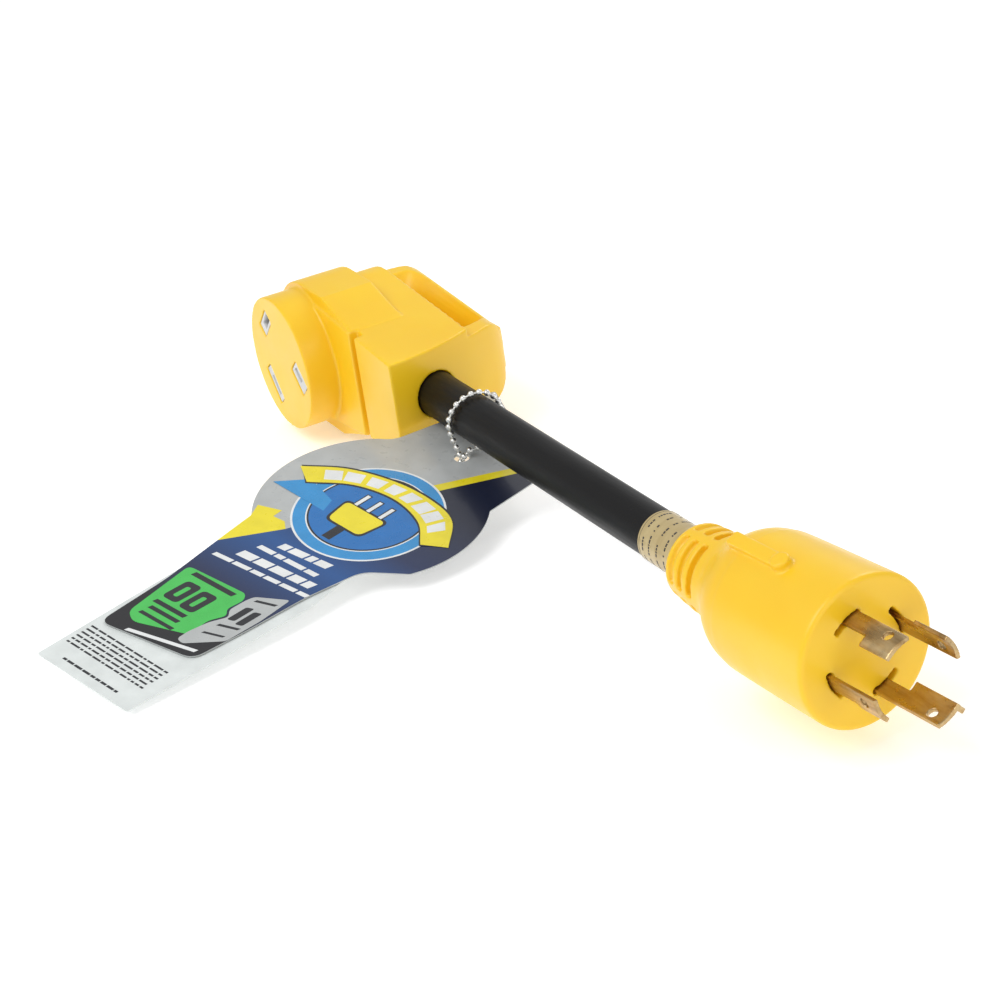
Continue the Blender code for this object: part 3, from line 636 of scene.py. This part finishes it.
def make_materials():
    """Every material, by a short name."""
    MATERIALS["yellow"] = yellow_vinyl("yellow_vinyl", (0.92, 0.59, 0.014), (0.88, 0.53, 0.010))
    MATERIALS["rubber"] = black_rubber()
    MATERIALS["brass"] = aged_brass()
    MATERIALS["steel"] = metal("bead_nickel", (0.86, 0.86, 0.84), 0.34)
    MATERIALS["clasp"] = metal("clasp_brass", (0.62, 0.50, 0.34), 0.25)
    MATERIALS["copper"] = metal("bare_copper", (0.72, 0.33, 0.16), 0.3)
    MATERIALS["film"] = banded_film()
    MATERIALS["print_navy"] = navy_print()
    MATERIALS["paper"] = plain_plastic("back_paper", (0.70, 0.74, 0.73), 0.55, 800.0)
    plastics = (("core", "core_nylon", (0.66, 0.67, 0.68), 0.42),
                ("ink", "band_ink", (0.04, 0.035, 0.03), 0.4),
                ("black", "black_insulation", (0.02, 0.02, 0.02), 0.4),
                ("white", "white_insulation", (0.75, 0.75, 0.73), 0.4),
                ("green", "green_insulation", (0.02, 0.25, 0.06), 0.4))
    for name, label, colour, roughness in plastics:
        MATERIALS[name] = plain_plastic(label, colour, roughness)
    prints = (("grey", (0.46, 0.48, 0.48), 0.32), ("yellow", (0.85, 0.72, 0.02), 0.32),
              ("blue", (0.01, 0.16, 0.48), 0.3), ("sky", (0.03, 0.28, 0.62), 0.3),
              ("black", (0.012, 0.013, 0.018), 0.3), ("white", (0.80, 0.82, 0.82), 0.32),
              ("green", (0.06, 0.52, 0.09), 0.3))
    for name, colour, roughness in prints:
        MATERIALS[f"print_{name}"] = plain_plastic(f"print_{name}", colour, roughness, 300.0,
                                                   Coat_Weight=0.5, Coat_Roughness=0.12)


def navy_print():
    """Printed field that runs from black at the tag's foot through blue to near black at its head."""
    made, tree, shader = new_material("print_navy", (0.01, 0.02, 0.05), 0.3,
                                      Coat_Weight=0.5, Coat_Roughness=0.12)
    coords = tree.nodes.new("ShaderNodeTexCoord")
    split = tree.nodes.new("ShaderNodeSeparateXYZ")
    tree.links.new(coords.outputs["Object"], split.inputs["Vector"])
    span = tree.nodes.new("ShaderNodeMapRange")
    span.inputs["From Min"].default_value = 0.0
    span.inputs["From Max"].default_value = PRINT_SPAN
    tree.links.new(split.outputs["Y"], span.inputs["Value"])
    drive(tree, shader, "Base Color", span.outputs["Result"],
          ((0.10, (0.006, 0.006, 0.009)), (0.24, (0.008, 0.018, 0.07)), (0.42, (0.008, 0.075, 0.26)),
                 (0.56, (0.007, 0.02, 0.08)), (0.75, (0.010, 0.014, 0.035))))
    bump(tree, shader, noise(tree, 300.0, 2.0), 0.06, 0.0002)
    return made


def paint(obj, *names):
    """Give an object its materials, first slot first."""
    slots = obj.data.materials
    while len(slots) < len(names):
        slots.append(None)
    for index, name in enumerate(names):
        slots[index] = MATERIALS[name]
    return obj


def place(obj, body, slot, *replaced):
    """Ride on a body and stand for CAD nodes; slot is not used."""
    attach(obj, body)
    if replaced:
        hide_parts(*replaced)
    return obj


# ---------------------------------------------------------------- outlet head
def flange_outline():
    """Outline in X and Z: a half circle on the far side, then shoulders that step down towards the cable."""
    arc = arc_points((0, 0), FLANGE_R, 90, 270, 97)
    low = [(x * MM, -z * MM) for x, z in FLANGE_SHOULDER]
    return arc + low + [(x * MM, z * MM) for x, z in reversed(FLANGE_SHOULDER)]


def body_outline(radius, side_x, side_h, corner):
    """Outline in X and Z: a circle round the outlet axis drawn out to an upright side at side_x."""
    slope = math.degrees(math.asin((radius - side_h) / math.hypot(side_x, radius)))
    arc = arc_points((0, 0), radius, 90 - slope, 270 + slope, 97)
    low = arc_points((side_x - corner, -side_h + corner), corner, -90, 0, 12)
    high = arc_points((side_x - corner, side_h - corner), corner, 0, 90, 12)
    return arc + low + high


def rounding_tool():
    """Cutter that rounds the handle's outer upper and lower edges; its far side slants along X."""
    bm = bmesh.new()
    for side in (1, -1):
        centre = (BAR_FAR_Y - BAR_CORNER, (HANDLE_H - BAR_CORNER) * side)
        arc = arc_points(centre, BAR_CORNER, 0, 90 * side, 16)
        outside = HANDLE_H * side * 1.6
        outline = [*arc, (centre[0], outside), (2 * BAR_FAR_Y, outside), (2 * BAR_FAR_Y, arc[0][1])]
        piece = prism(outline, 160 * MM, moved(-50 * MM, 0, 0) @ YZ_PLANE)
        merge(bm, piece)
    for vert in bm.verts:
        vert.co.y -= BAR_SLANT * vert.co.x
    return bm


def finger_hole():
    """Cutter for the handle's opening, wider towards its two rims."""
    bm = bmesh.new()
    rings = []
    for step in range(-12, 13):
        z = step * 1.6 * MM
        share = min((z / HANDLE_H) ** 2, 1.4)
        corners = [((a[0] + (b[0] - a[0]) * share) * MM, (a[1] + (b[1] - a[1]) * share) * MM)
                   for a, b in zip(HOLE_MIDDLE, HOLE_RIM)]
        rings.append([bm.verts.new((x, y, z)) for x, y in rounded_outline(corners, 4 * MM)])
    for low, high in zip(rings, rings[1:]):
        for index in range(len(low)):
            bm.faces.new((low[index - 1], low[index], high[index], high[index - 1]))
    bm.faces.new(rings[0][::-1])
    bm.faces.new(rings[-1])
    bmesh.ops.recalc_face_normals(bm, faces=bm.faces)
    return bm


def way_box(x, z, length, width, angle, depth, shift=0.0):
    """A box at an outlet way: its long side at angle in the XZ plane, moved along it by shift."""
    half = width / 2 * MM
    bm = box(((shift - length / 2) * MM, depth[0], -half), ((shift + length / 2) * MM, depth[1], half))
    turn = Matrix.Rotation(math.radians(-angle), 4, "Y")
    return transformed(bm, moved(x * MM, 0, z * MM) @ turn)


def make_head():
    """Yellow overmould, with its hollow inside, softened all over."""
    end = [tuple(p.to_2d() * MM) for p in smooth_line([(x, y, 0) for x, y in END_FACE], 4)]
    trim = end + [(40 * MM, 90 * MM), (110 * MM, 90 * MM), (110 * MM, 5 * MM), (78 * MM, 5 * MM)]
    body = prism(body_outline(BODY_R, NECK_X, NECK_H, 5 * MM), BODY_Y[1] - BODY_Y[0],
                 moved(0, BODY_Y[0], 0) @ XZ_PLANE)
    flange = prism(flange_outline(), FLANGE_Y[1] - FLANGE_Y[0],
                   moved(0, FLANGE_Y[0], 0) @ XZ_PLANE)
    left = [(HANDLE_LEFT_X + 10 * MM, HANDLE_FAR_Y), (HANDLE_LEFT_X + 4 * MM, HANDLE_FAR_Y - 2.2 * MM),
            (HANDLE_LEFT_X + MM, HANDLE_FAR_Y - 6 * MM), (HANDLE_LEFT_X, HANDLE_FAR_Y - 12 * MM),
            (HANDLE_LEFT_X, 44 * MM)]
    loop = [(80 * MM, 44 * MM), (80 * MM, HANDLE_FAR_Y)] + left
    handle = prism(loop, 2 * HANDLE_H, moved(0, 0, -HANDLE_H))
    crown = (HANDLE_H ** 2 + HANDLE_CROWN ** 2) / (2 * HANDLE_CROWN)
    reach = math.degrees(math.asin(HANDLE_H / crown))
    barrel = arc_points((HANDLE_FAR_Y - crown, 0), crown, -reach, reach, 25)
    barrel += [(10 * MM, HANDLE_H), (10 * MM, -HANDLE_H)]
    groove = box((GROOVE_X[0], 0, -40 * MM), (GROOVE_X[1], GROOVE_Y, 40 * MM))
    base = shaped("head_overmold_visual", body, [("DIFFERENCE", groove)])
    crowned = prism(barrel, 140 * MM, moved(-50 * MM, 0, 0) @ YZ_PLANE)
    handle_bm = mesh_of(shaped("handle_form", handle, [("INTERSECT", crowned)]))
    first = mesh_of(base)
    tools = [
        ("UNION", cylinder(NOSE_R, (0, 0, 0), (0, NOSE_END_Y + 4 * MM, 0), 128)),
        ("UNION", flange),
        ("UNION", handle_bm),
        ("DIFFERENCE", prism(trim, 70 * MM, moved(0, 0, -35 * MM))),
        ("DIFFERENCE", rounding_tool()),
        ("DIFFERENCE", finger_hole()),
        ("DIFFERENCE", cylinder(CORE_R + CLEARANCE, (0, FACE_SKIN, 0), (0, 24 * MM, 0))),
        ("DIFFERENCE", box(*zip(CHAMBER_X, CHAMBER_Y, CHAMBER_Z))),
        ("DIFFERENCE", cylinder(CABLE_R + CLEARANCE, (CHAMBER_X[1] - MM, CABLE_Y, 0), (90 * MM, CABLE_Y, 0))),
    ]
    tools += [("DIFFERENCE", way_box(x, z, length, width, angle, (-MM, 6 * MM)))
              for x, z, length, width, angle, _, _, _ in WAYS]
    head = soften(shaped("head_overmold_visual", first, tools))
    place(paint(head, "yellow"), "head", "yellow", "head_overmold")


def make_core():
    """Grey nylon core behind the outlet face: a pad fills each window and is cut by its dark slot."""
    low = FACE_SKIN + CLEARANCE
    tools = []
    for x, z, length, width, angle, _, _, _ in WAYS:
        tools.append(("UNION", way_box(x, z, length - 0.6, width - 0.6, angle, (0.35 * MM, 3 * MM))))
    for x, z, length, _, angle, slot, slot_length, shift in WAYS:
        tools.append(("DIFFERENCE", way_box(x, z, length + 0.6, 6.6, angle, (3.4 * MM, 30 * MM))))
        tools.append(("DIFFERENCE", way_box(x, z, slot_length, slot, angle, (-MM, 4 * MM), shift)))
    core = shaped("socket_core_visual", cylinder(CORE_R, (0, low, 0), (0, 20 * MM, 0)), tools)
    bevel = core.modifiers.new("edges", "BEVEL")
    bevel.width = 0.2 * MM
    bevel.segments = 2
    evaluated(core)
    core.data.set_sharp_from_angle(angle=math.radians(40))
    place(paint(core, "core"), "head", "white", "socket_core")


# ---------------------------------------------------------------- plug
def blade_angle(way):
    """Middle angle of a blade's slot, counter-clockwise from the plug's +Y side."""
    return math.radians(BLADE_PHASE + 90 * way)


def turned(way, turns):
    """A blade's angles, from those about the middle of its slot."""
    return [blade_angle(way) + turn for turn in turns]


def make_plug():
    """Yellow plug overmould with strain relief, rib and blade slots."""
    outer = [(p.x, p.y) for p in smooth_line([(s, r, 0) for s, r in PLUG_OUTER[2:-2]], 4)]
    profile = [(0.0, 0.0), *PLUG_OUTER[:2], *outer, *PLUG_OUTER[-2:], *PLUG_INNER, (-6.0, 0.0)]
    tools = []
    rib = arc_block(RIB_R, (RIB_ANGLE - RIB_HALF, RIB_ANGLE + RIB_HALF), RIB_S)
    low, high = ((RIB_S[1], r * math.cos(RIB_ANGLE), r * math.sin(RIB_ANGLE))
                 for r in (RIB_R[0], RIB_END_TOP))
    tools += [("UNION", rib), ("UNION", cylinder(RIB_END_R, low, high, 48))]
    for _, way, _ in BLADES:
        radii = (BLADE_MID_R - BLADE_T / 2 - CLEARANCE, BLADE_MID_R + BLADE_T / 2 + CLEARANCE)
        tools.append(("DIFFERENCE", arc_block(radii, turned(way, SLOT_TURN), (-7 * MM, MM))))
    for s in RELIEF_GROOVES:
        for quarter in range(4):
            start = SPINE_ANGLE + quarter * math.pi / 2
            cut = arc_block((11.6 * MM, 17 * MM), (start + 0.12, start + math.pi / 2 - 0.12),
                            (s - RELIEF_GROOVE_W / 2, s + RELIEF_GROOVE_W / 2))
            tools.append(("DIFFERENCE", cut))
    plug = soften(shaped("plug_overmold_visual", spin_profile(profile, 160), tools))
    for vert in plug.data.vertices:
        vert.co = PLUG_FRAME @ bend(vert.co)
    place(paint(plug, "yellow"), "plug", "yellow", "plug_overmold")


def barrel_point(way, s):
    """A point on the axis of a blade's crimp barrel, s in mm."""
    middle = blade_angle(way) + BLADE_CENTRE
    return (s * MM, BLADE_MID_R * math.cos(middle), BLADE_MID_R * math.sin(middle))


def make_blades():
    """Curved brass blades with locking tabs and holes."""
    radii = (BLADE_MID_R - BLADE_T / 2, BLADE_MID_R + BLADE_T / 2)
    for name, way, length in BLADES:
        base = arc_block(radii, turned(way, BLADE_TURN), (BLADE_BACK, length))
        tab = arc_block(radii, turned(way, TAB_TURN), (TAB_START, length))
        hole = Vector((length - BLADE_HOLE_BACK, 0, 0))
        middle = blade_angle(way) + BLADE_CENTRE
        across = Vector((0, math.cos(middle), math.sin(middle)))
        drill = cylinder(BLADE_HOLE_R, hole + across * 8 * MM, hole + across * 22 * MM, 48)
        tools = [("UNION", tab), ("DIFFERENCE", drill)]
        if name == "ground":
            fin = arc_block((radii[0] + 0.2 * MM, FIN_R), turned(way, FIN_TURN), (FIN_START, length - MM))
            tools.append(("UNION", fin))
        if way:
            back = BLADE_BACK / MM
            barrel = cylinder(BARREL_R, barrel_point(way, back - 10), barrel_point(way, back + 1), 32)
            bore = cylinder(BARREL_BORE_R, barrel_point(way, back - 20), barrel_point(way, back - 3), 32)
            tools += [("UNION", barrel), ("DIFFERENCE", bore)]
        blade = soften(shaped(f"blade_{name}_visual", base, tools), 0.25 * MM, 3)
        blade.data.transform(PLUG_FRAME)
        place(paint(blade, "brass"), "plug", "brass", f"blade_{name}")


# ---------------------------------------------------------------- cable
def jacket_half(name, stations):
    """A round jacket along the plug frame's s stations, hollow, with its wall."""
    bm = bmesh.new()
    rings = []
    for radius, order in ((CABLE_R, stations), (CABLE_R - CABLE_WALL, stations[::-1])):
        for s in order:
            ring = []
            for index in range(JACKET_SIDES):
                angle = math.tau * index / JACKET_SIDES
                ring.append(bm.verts.new(PLUG_FRAME @ bend(Vector((s, radius * math.cos(angle),
                                                                   radius * math.sin(angle))))))
            rings.append(ring)
    for first, second in zip(rings, rings[1:] + rings[:1]):
        for index in range(JACKET_SIDES):
            bm.faces.new((first[index], first[index - 1], second[index - 1], second[index]))
    bmesh.ops.recalc_face_normals(bm, faces=bm.faces)
    made = link(name, bm)
    made.data.set_sharp_from_angle(angle=math.radians(50))
    return paint(made, "rubber")


def make_cable():
    """Jacket in two halves that meet mid-cable."""
    def spread(start, end):
        count = round(abs(end - start) / JACKET_STEP)
        return [start + (end - start) * i / count for i in range(count + 1)]

    near = jacket_half("cable_jacket_head_half", spread(s_of_x(CABLE_START_X), s_of_x(CABLE_JOIN_X)))
    far = jacket_half("cable_jacket_plug_half", spread(s_of_x(CABLE_JOIN_X), CABLE_END_S))
    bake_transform(near)
    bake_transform(far)
    for half in (near, far):
        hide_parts("cable_jacket")


def make_band():
    """Tan film round the cable by the plug, printed with short rows of marks."""
    start, end = LABEL_S[0] / MM, LABEL_S[1] / MM
    top = LABEL_R + LABEL_WALL
    profile = [(start, LABEL_R), (end, LABEL_R), (end, top), (start, top)]
    band = link("cable_band_visual", spin_profile(profile, 128, closed=True))
    band.data.transform(CABLE_FRAME)
    band.data.set_sharp_from_angle(angle=math.radians(40))
    place(paint(band, "film"), "plug", "label", "cable_band")

    random.seed(11)
    bm = bmesh.new()
    outer = top * MM
    for row, s in enumerate(LABEL_ROWS):
        angle = 0.0
        while angle < math.tau - 0.1:
            width = 0.05 + 0.10 * random.random() if row else 0.16
            height = (0.16 if row == 0 else 0.75) * MM
            if row == 0 or random.random() < 0.7:
                mark = arc_block((outer - 0.02 * MM, outer + 0.03 * MM), (angle, angle + width),
                                 (s * MM - height / 2, s * MM + height / 2), 4)
                merge(bm, mark)
            angle += width + (0.035 if row else 0.0)
    marks = link("cable_band_marks", transformed(bm, CABLE_FRAME))
    place(paint(marks, "ink"), "plug", "label")


# ---------------------------------------------------------------- chain
def make_chain():
    """Ball chain: round beads on short links, looped over the cable with both strands through the cards."""
    loop = arc_points((0, 0), CHAIN_LOOP_R / MM, 195, -12, 36)
    route = [*CHAIN_RISE, *loop, *CHAIN_RETURN]
    points = []
    for index, (y, z) in enumerate(route):
        share = index / (len(route) - 1)
        x = CHAIN_X + CHAIN_OFFSET * (2 * share - 1) + CHAIN_LEAN * math.sin(math.pi * share)
        points.append(Vector((x, CABLE_Y + y * MM, z * MM)))
    fine = smooth_line(points, 12)
    length = sum((b - a).length for a, b in zip(fine, fine[1:]))
    centres = resample(fine, round(length / BEAD_PITCH) + 1)
    bm = bmesh.new()
    for centre in centres:
        bmesh.ops.create_uvsphere(bm, u_segments=20, v_segments=12, radius=BEAD_R,
                                  matrix=Matrix.Translation(centre))
    for a, b in zip(centres, centres[1:]):
        turn = (b - a).to_track_quat("Z", "Y").to_matrix().to_4x4()
        bmesh.ops.create_cone(bm, cap_ends=True, segments=12, radius1=LINK_R, radius2=LINK_R,
                              depth=(b - a).length, matrix=Matrix.Translation((a + b) / 2) @ turn)
    chain = link("ball_chain_visual", bm)
    place(paint(chain, "steel"), "chain", "steel", "ball_chain")

    span = (CLASP_Z[1] - CLASP_Z[0]) / MM
    profile = [(0.0, 0.0), (0.0, 1.0), (0.4, 1.8), (1.0, 2.1), (span - 1.0, 2.1), (span - 0.4, 1.8),
               (span, 1.0), (span, 0.0)]
    clasp = link("chain_clasp_visual", spin_profile(profile, 32))
    clasp.data.transform(moved(CHAIN_X, CABLE_Y + CLASP_Y, CLASP_Z[0])
                         @ Matrix.Rotation(-math.pi / 2, 4, "Y"))
    place(paint(clasp, "clasp"), "chain", "steel", "chain_clasp")


# ---------------------------------------------------------------- hang tag
def front_outline():
    """Outline of the front card in its own plane: strap, round head and narrower top with a tongue."""
    sides = (STRAP_RIGHT, STRAP_LEFT, TAG_TOP)
    right, left, top = ([(u * MM, w * MM) for u, w in points] for points in sides)
    head_right = arc_points(BULGE_MIDDLE, BULGE_R, *BULGE_RIGHT, 40)
    head_left = arc_points(BULGE_MIDDLE, BULGE_R, *BULGE_LEFT, 50)
    return rounded_outline(right + head_right + top + head_left + left, TAG_CORNER, 5)


def card(name, outline, low, material_name):
    """A thin card with a punched hole, from low up to its thickness."""
    drill = cylinder(HOLE_R, (HOLE_U, HOLE_W, -5 * MM), (HOLE_U, HOLE_W, 5 * MM), 48)
    made = shaped(name, prism(outline, TAG_T, moved(0, 0, low)), [("DIFFERENCE", drill)])
    made.data.set_sharp_from_angle(angle=math.radians(40))
    made.matrix_world = TAG_FRAME
    return paint(made, material_name)


ART_STEP = 0.02                     # mm between printed layers


def decal(bm, outline, layer, slot_index, clip):
    """Add one printed shape, in mm, at its layer over the card; clip keeps it inside the card."""
    low = TAG_T + (layer - 0.5) * ART_STEP * MM
    shape = prism([(u * MM, w * MM) for u, w in outline], ART_STEP * MM, moved(0, 0, low))
    if clip:
        cutter = prism(front_outline(), 4 * MM, moved(0, 0, -MM))
        hole = cylinder(HOLE_R, (HOLE_U, HOLE_W, -5 * MM), (HOLE_U, HOLE_W, 5 * MM), 48)
        shape = mesh_of(shaped("decal", shape, [("INTERSECT", cutter), ("DIFFERENCE", hole)]))
    for face in shape.faces:
        face.material_index = slot_index
    merge(bm, shape)


def bar(u, w, length, height, slope=0.16, slant=0.25):
    """A slanted bar that stands for a line of print."""
    rise = slope * length
    lean = slant * height
    return [(u, w), (u + length, w + rise), (u + length + lean, w + rise + height), (u + lean, w + height)]


def make_tag():
    """Front card with its printed shapes, and the plain card behind it."""
    front = card("tag_front_visual", front_outline(), 0.0, "print_grey")
    place(front, "tag_front", "card", "tag_front_card")
    inks = ("print_navy", "print_yellow", "print_blue", "print_sky", "print_black", "print_white",
            "print_green", "print_grey")
    navy, yellow, blue, sky, black, white, green, grey = range(8)
    bm = bmesh.new()
    field = [(-30, -8), (60, -8), (60, 140), (36, 158), (31.6, 158), (27.9, 150.7), (13.1, 121.9), (0, 98),
             (-10, 72.7), (-23.4, 51.9), (-30, 46)]
    decal(bm, field, 1, navy, True)
    stripe = [(27.4, 158), (24.7, 152.8), (9.5, 123.7), (-4, 98), (0, 96), (13.1, 121.9), (27.9, 150.7),
              (31.6, 158)]
    decal(bm, stripe, 2, yellow, True)
    zigzag = [(-28.4, 75.8), (-19.3, 79.3), (-19, 74.9), (-13.6, 75.5), (-10, 72.7), (-23.4, 51.9),
              (-25.4, 69.6)]
    decal(bm, zigzag, 2, yellow, True)
    centre = (5.5, 98.5)
    discs = ((28.0, white), (27.2, sky), (22.6, white), (22.1, black), (21.4, blue))
    for layer, (radius, ink) in enumerate(discs):
        decal(bm, arc_points(centre, radius, 0, 355, 72), 3 + layer, ink, False)
    ribbon = [(-34.9, 89), (-25.6, 99.2), (-10.1, 95.2), (-7.8, 88.9)]
    decal(bm, ribbon, 8, sky, True)
    upper = smooth_line([(-34.9, 103, 0), (-20, 113.5, 0), (-0.4, 119.3, 0), (17.4, 119.8, 0), (31, 116, 0),
                         (41.3, 104, 0)])
    lower = smooth_line([(33, 97, 0), (22.4, 105.9, 0), (6.2, 109.6, 0), (-11, 106, 0), (-25.3, 96, 0)])
    decal(bm, [(p.x, p.y) for p in upper + lower], 9, black, True)
    inset = [(p.x + 0.2, p.y - 0.9) for p in upper] + [(p.x - 0.2, p.y + 0.9) for p in lower]
    decal(bm, inset, 10, yellow, True)
    for index in range(8):
        share = 0.1 + 0.1 * index
        outer = upper[round(share * (len(upper) - 1))]
        outer_next = upper[round((share + 0.075) * (len(upper) - 1))]
        inner = lower[round((1 - share) * (len(lower) - 1))]
        inner_next = lower[round((1 - share - 0.075) * (len(lower) - 1))]
        block = [outer.lerp(inner, 0.24), outer_next.lerp(inner_next, 0.24),
                 outer_next.lerp(inner_next, 0.76), outer.lerp(inner, 0.76)]
        decal(bm, [(p.x, p.y) for p in block], 11, white, False)
    icon = [(-4.5, 86), (13.5, 86), (15.5, 99.5), (-6.5, 99.5)]
    decal(bm, rounded_outline(icon, 3), 8, black, False)
    icon = [(-3.5, 87), (12.5, 87), (14.5, 98.5), (-5.5, 98.5)]
    decal(bm, rounded_outline(icon, 2.5), 9, yellow, False)
    for u in (-3.0, 3.2, 9.4):
        decal(bm, [(u, 99), (u + 2.6, 99), (u + 2.6, 106.5), (u, 106.5)], 8, black, False)
        decal(bm, [(u + 0.5, 99), (u + 2.1, 99), (u + 2.1, 106), (u + 0.5, 106)], 9, white, False)
    decal(bm, [(2.5, 78.5), (6.5, 78.5), (6.5, 86), (2.5, 86)], 8, black, False)
    lines = ((-4.3, 63.4, 22.8, 3.4, 0.13), (-9.7, 58.6, 30.7, 2.2, 0.07), (-12.2, 51.0, 33.7, 3.8, 0.11),
             (-18.6, 45.5, 44.4, 2.0, 0.12))
    for u, w, length, height, slope in lines:
        random.seed(int(w * 10))
        cursor = u
        while cursor < u + length - 2:
            width = min(3 + 6 * random.random(), u + length - cursor)
            decal(bm, bar(cursor, w + slope * (cursor - u), width, height, slope), 3, white, True)
            cursor += width + 0.9
    green_panel = [(-19.2, 35.7), (7.6, 38.6), (10, 35.7), (9.2, 28.7), (12, 26.2), (9, 19.7), (10.7, 11.3),
                   (-10, 2.8), (-15.3, 5.6)]
    decal(bm, rounded_outline(green_panel, 2.5), 3, green, True)
    grey_panel = [(10.5, 36), (11.3, 39.4), (22, 46.4), (22.9, 32), (22.2, 17), (12, 6.4), (8.7, 7),
                  (8.6, 12), (10, 19.7), (13, 26.2), (10.2, 29)]
    decal(bm, rounded_outline(grey_panel, 1.5), 4, grey, True)
    for u, w, length, height in ((-15, 33.0, 20, 2.2), (-13.5, 14.5, 15, 2.0), (-12, 11.2, 14, 1.8),
                                 (-12.5, 7.4, 16, 1.6)):
        decal(bm, bar(u, w, length, height, 0.06), 5, black, False)
    for u in (-13.5, -5.0):
        outer = [(u, 18.6), (u + 7, 19), (u + 7.6, 30.8), (u + 0.6, 30.2)]
        decal(bm, rounded_outline(outer, 2.0), 5, black, False)
        inner = [(u + 2.6, 21.3), (u + 4.6, 21.4), (u + 5.0, 28.0), (u + 3.0, 27.8)]
        decal(bm, rounded_outline(inner, 0.9), 6, green, False)
    decal(bm, bar(-8.5, -2.0, 27.0, 1.7, 0.30), 3, white, True)
    for u, w, length, height in ((13.0, 37.4, 7.5, 1.4), (13.2, 20.4, 7.5, 1.4), (12.4, 14.5, 7.5, 1.2)):
        decal(bm, bar(u, w, length, height, 0.4), 5, black, False)
    for u in (13.4, 17.4):
        pill = [(u, 25), (u + 2.8, 26), (u + 3.0, 35), (u + 0.2, 33.8)]
        decal(bm, rounded_outline(pill, 0.9), 5, black, False)
    art = link("tag_front_print", bm)
    art.data.shade_flat()
    art.matrix_world = TAG_FRAME
    place(paint(art, *inks), "tag_front", "card")

    low = -TAG_T - CLEARANCE
    corners = [(u * MM, w * MM) for u, w in BACK_OUTLINE]
    back = card("tag_back_visual", rounded_outline(corners, MM, 3), low, "paper")
    place(back, "tag_back", "paper", "tag_back_card")
    bm = bmesh.new()
    random.seed(5)
    for row in range(6):
        cursor = -19.5
        while cursor < 18.5:
            width = min(1.2 + 3.4 * random.random(), 19.5 - cursor)
            decal(bm, bar(cursor, -7.2 - 2.1 * row + 0.03 * cursor, width, 0.8, 0.03, 0.2), 1, 0, False)
            cursor += width + 0.6
    cursor = -13.0
    while cursor < 14:
        width = 1.2 + 2.6 * random.random()
        decal(bm, bar(cursor, -24.6 + 0.03 * cursor, width, 1.0, 0.03, 0.2), 1, 0, False)
        cursor += width + 0.5
    text = link("tag_back_print", bm)
    text.data.shade_flat()
    text.matrix_world = TAG_FRAME @ moved(0, 0, low)
    place(paint(text, "print_black"), "tag_back", "paper")


# ---------------------------------------------------------------- everything
def paint_inner_nodes():
    """CAD pieces that stay as they are get finished materials."""
    finishes = {"plug_core": "core"}
    for way in ("line", "neutral", "ground"):
        finishes[f"contact_{way}"] = "brass"
    for wire, sleeve in (("line", "black"), ("neutral", "white"), ("ground", "green")):
        finishes[f"wire_{wire}_copper"] = "copper"
        finishes[f"wire_{wire}_insulation"] = sleeve
    for node, finish in finishes.items():
        paint(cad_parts[node], finish)


make_camera()
make_materials()
make_head()
make_core()
make_plug()
make_blades()
make_cable()
make_band()
make_chain()
make_tag()
paint_inner_nodes()
make_studio()
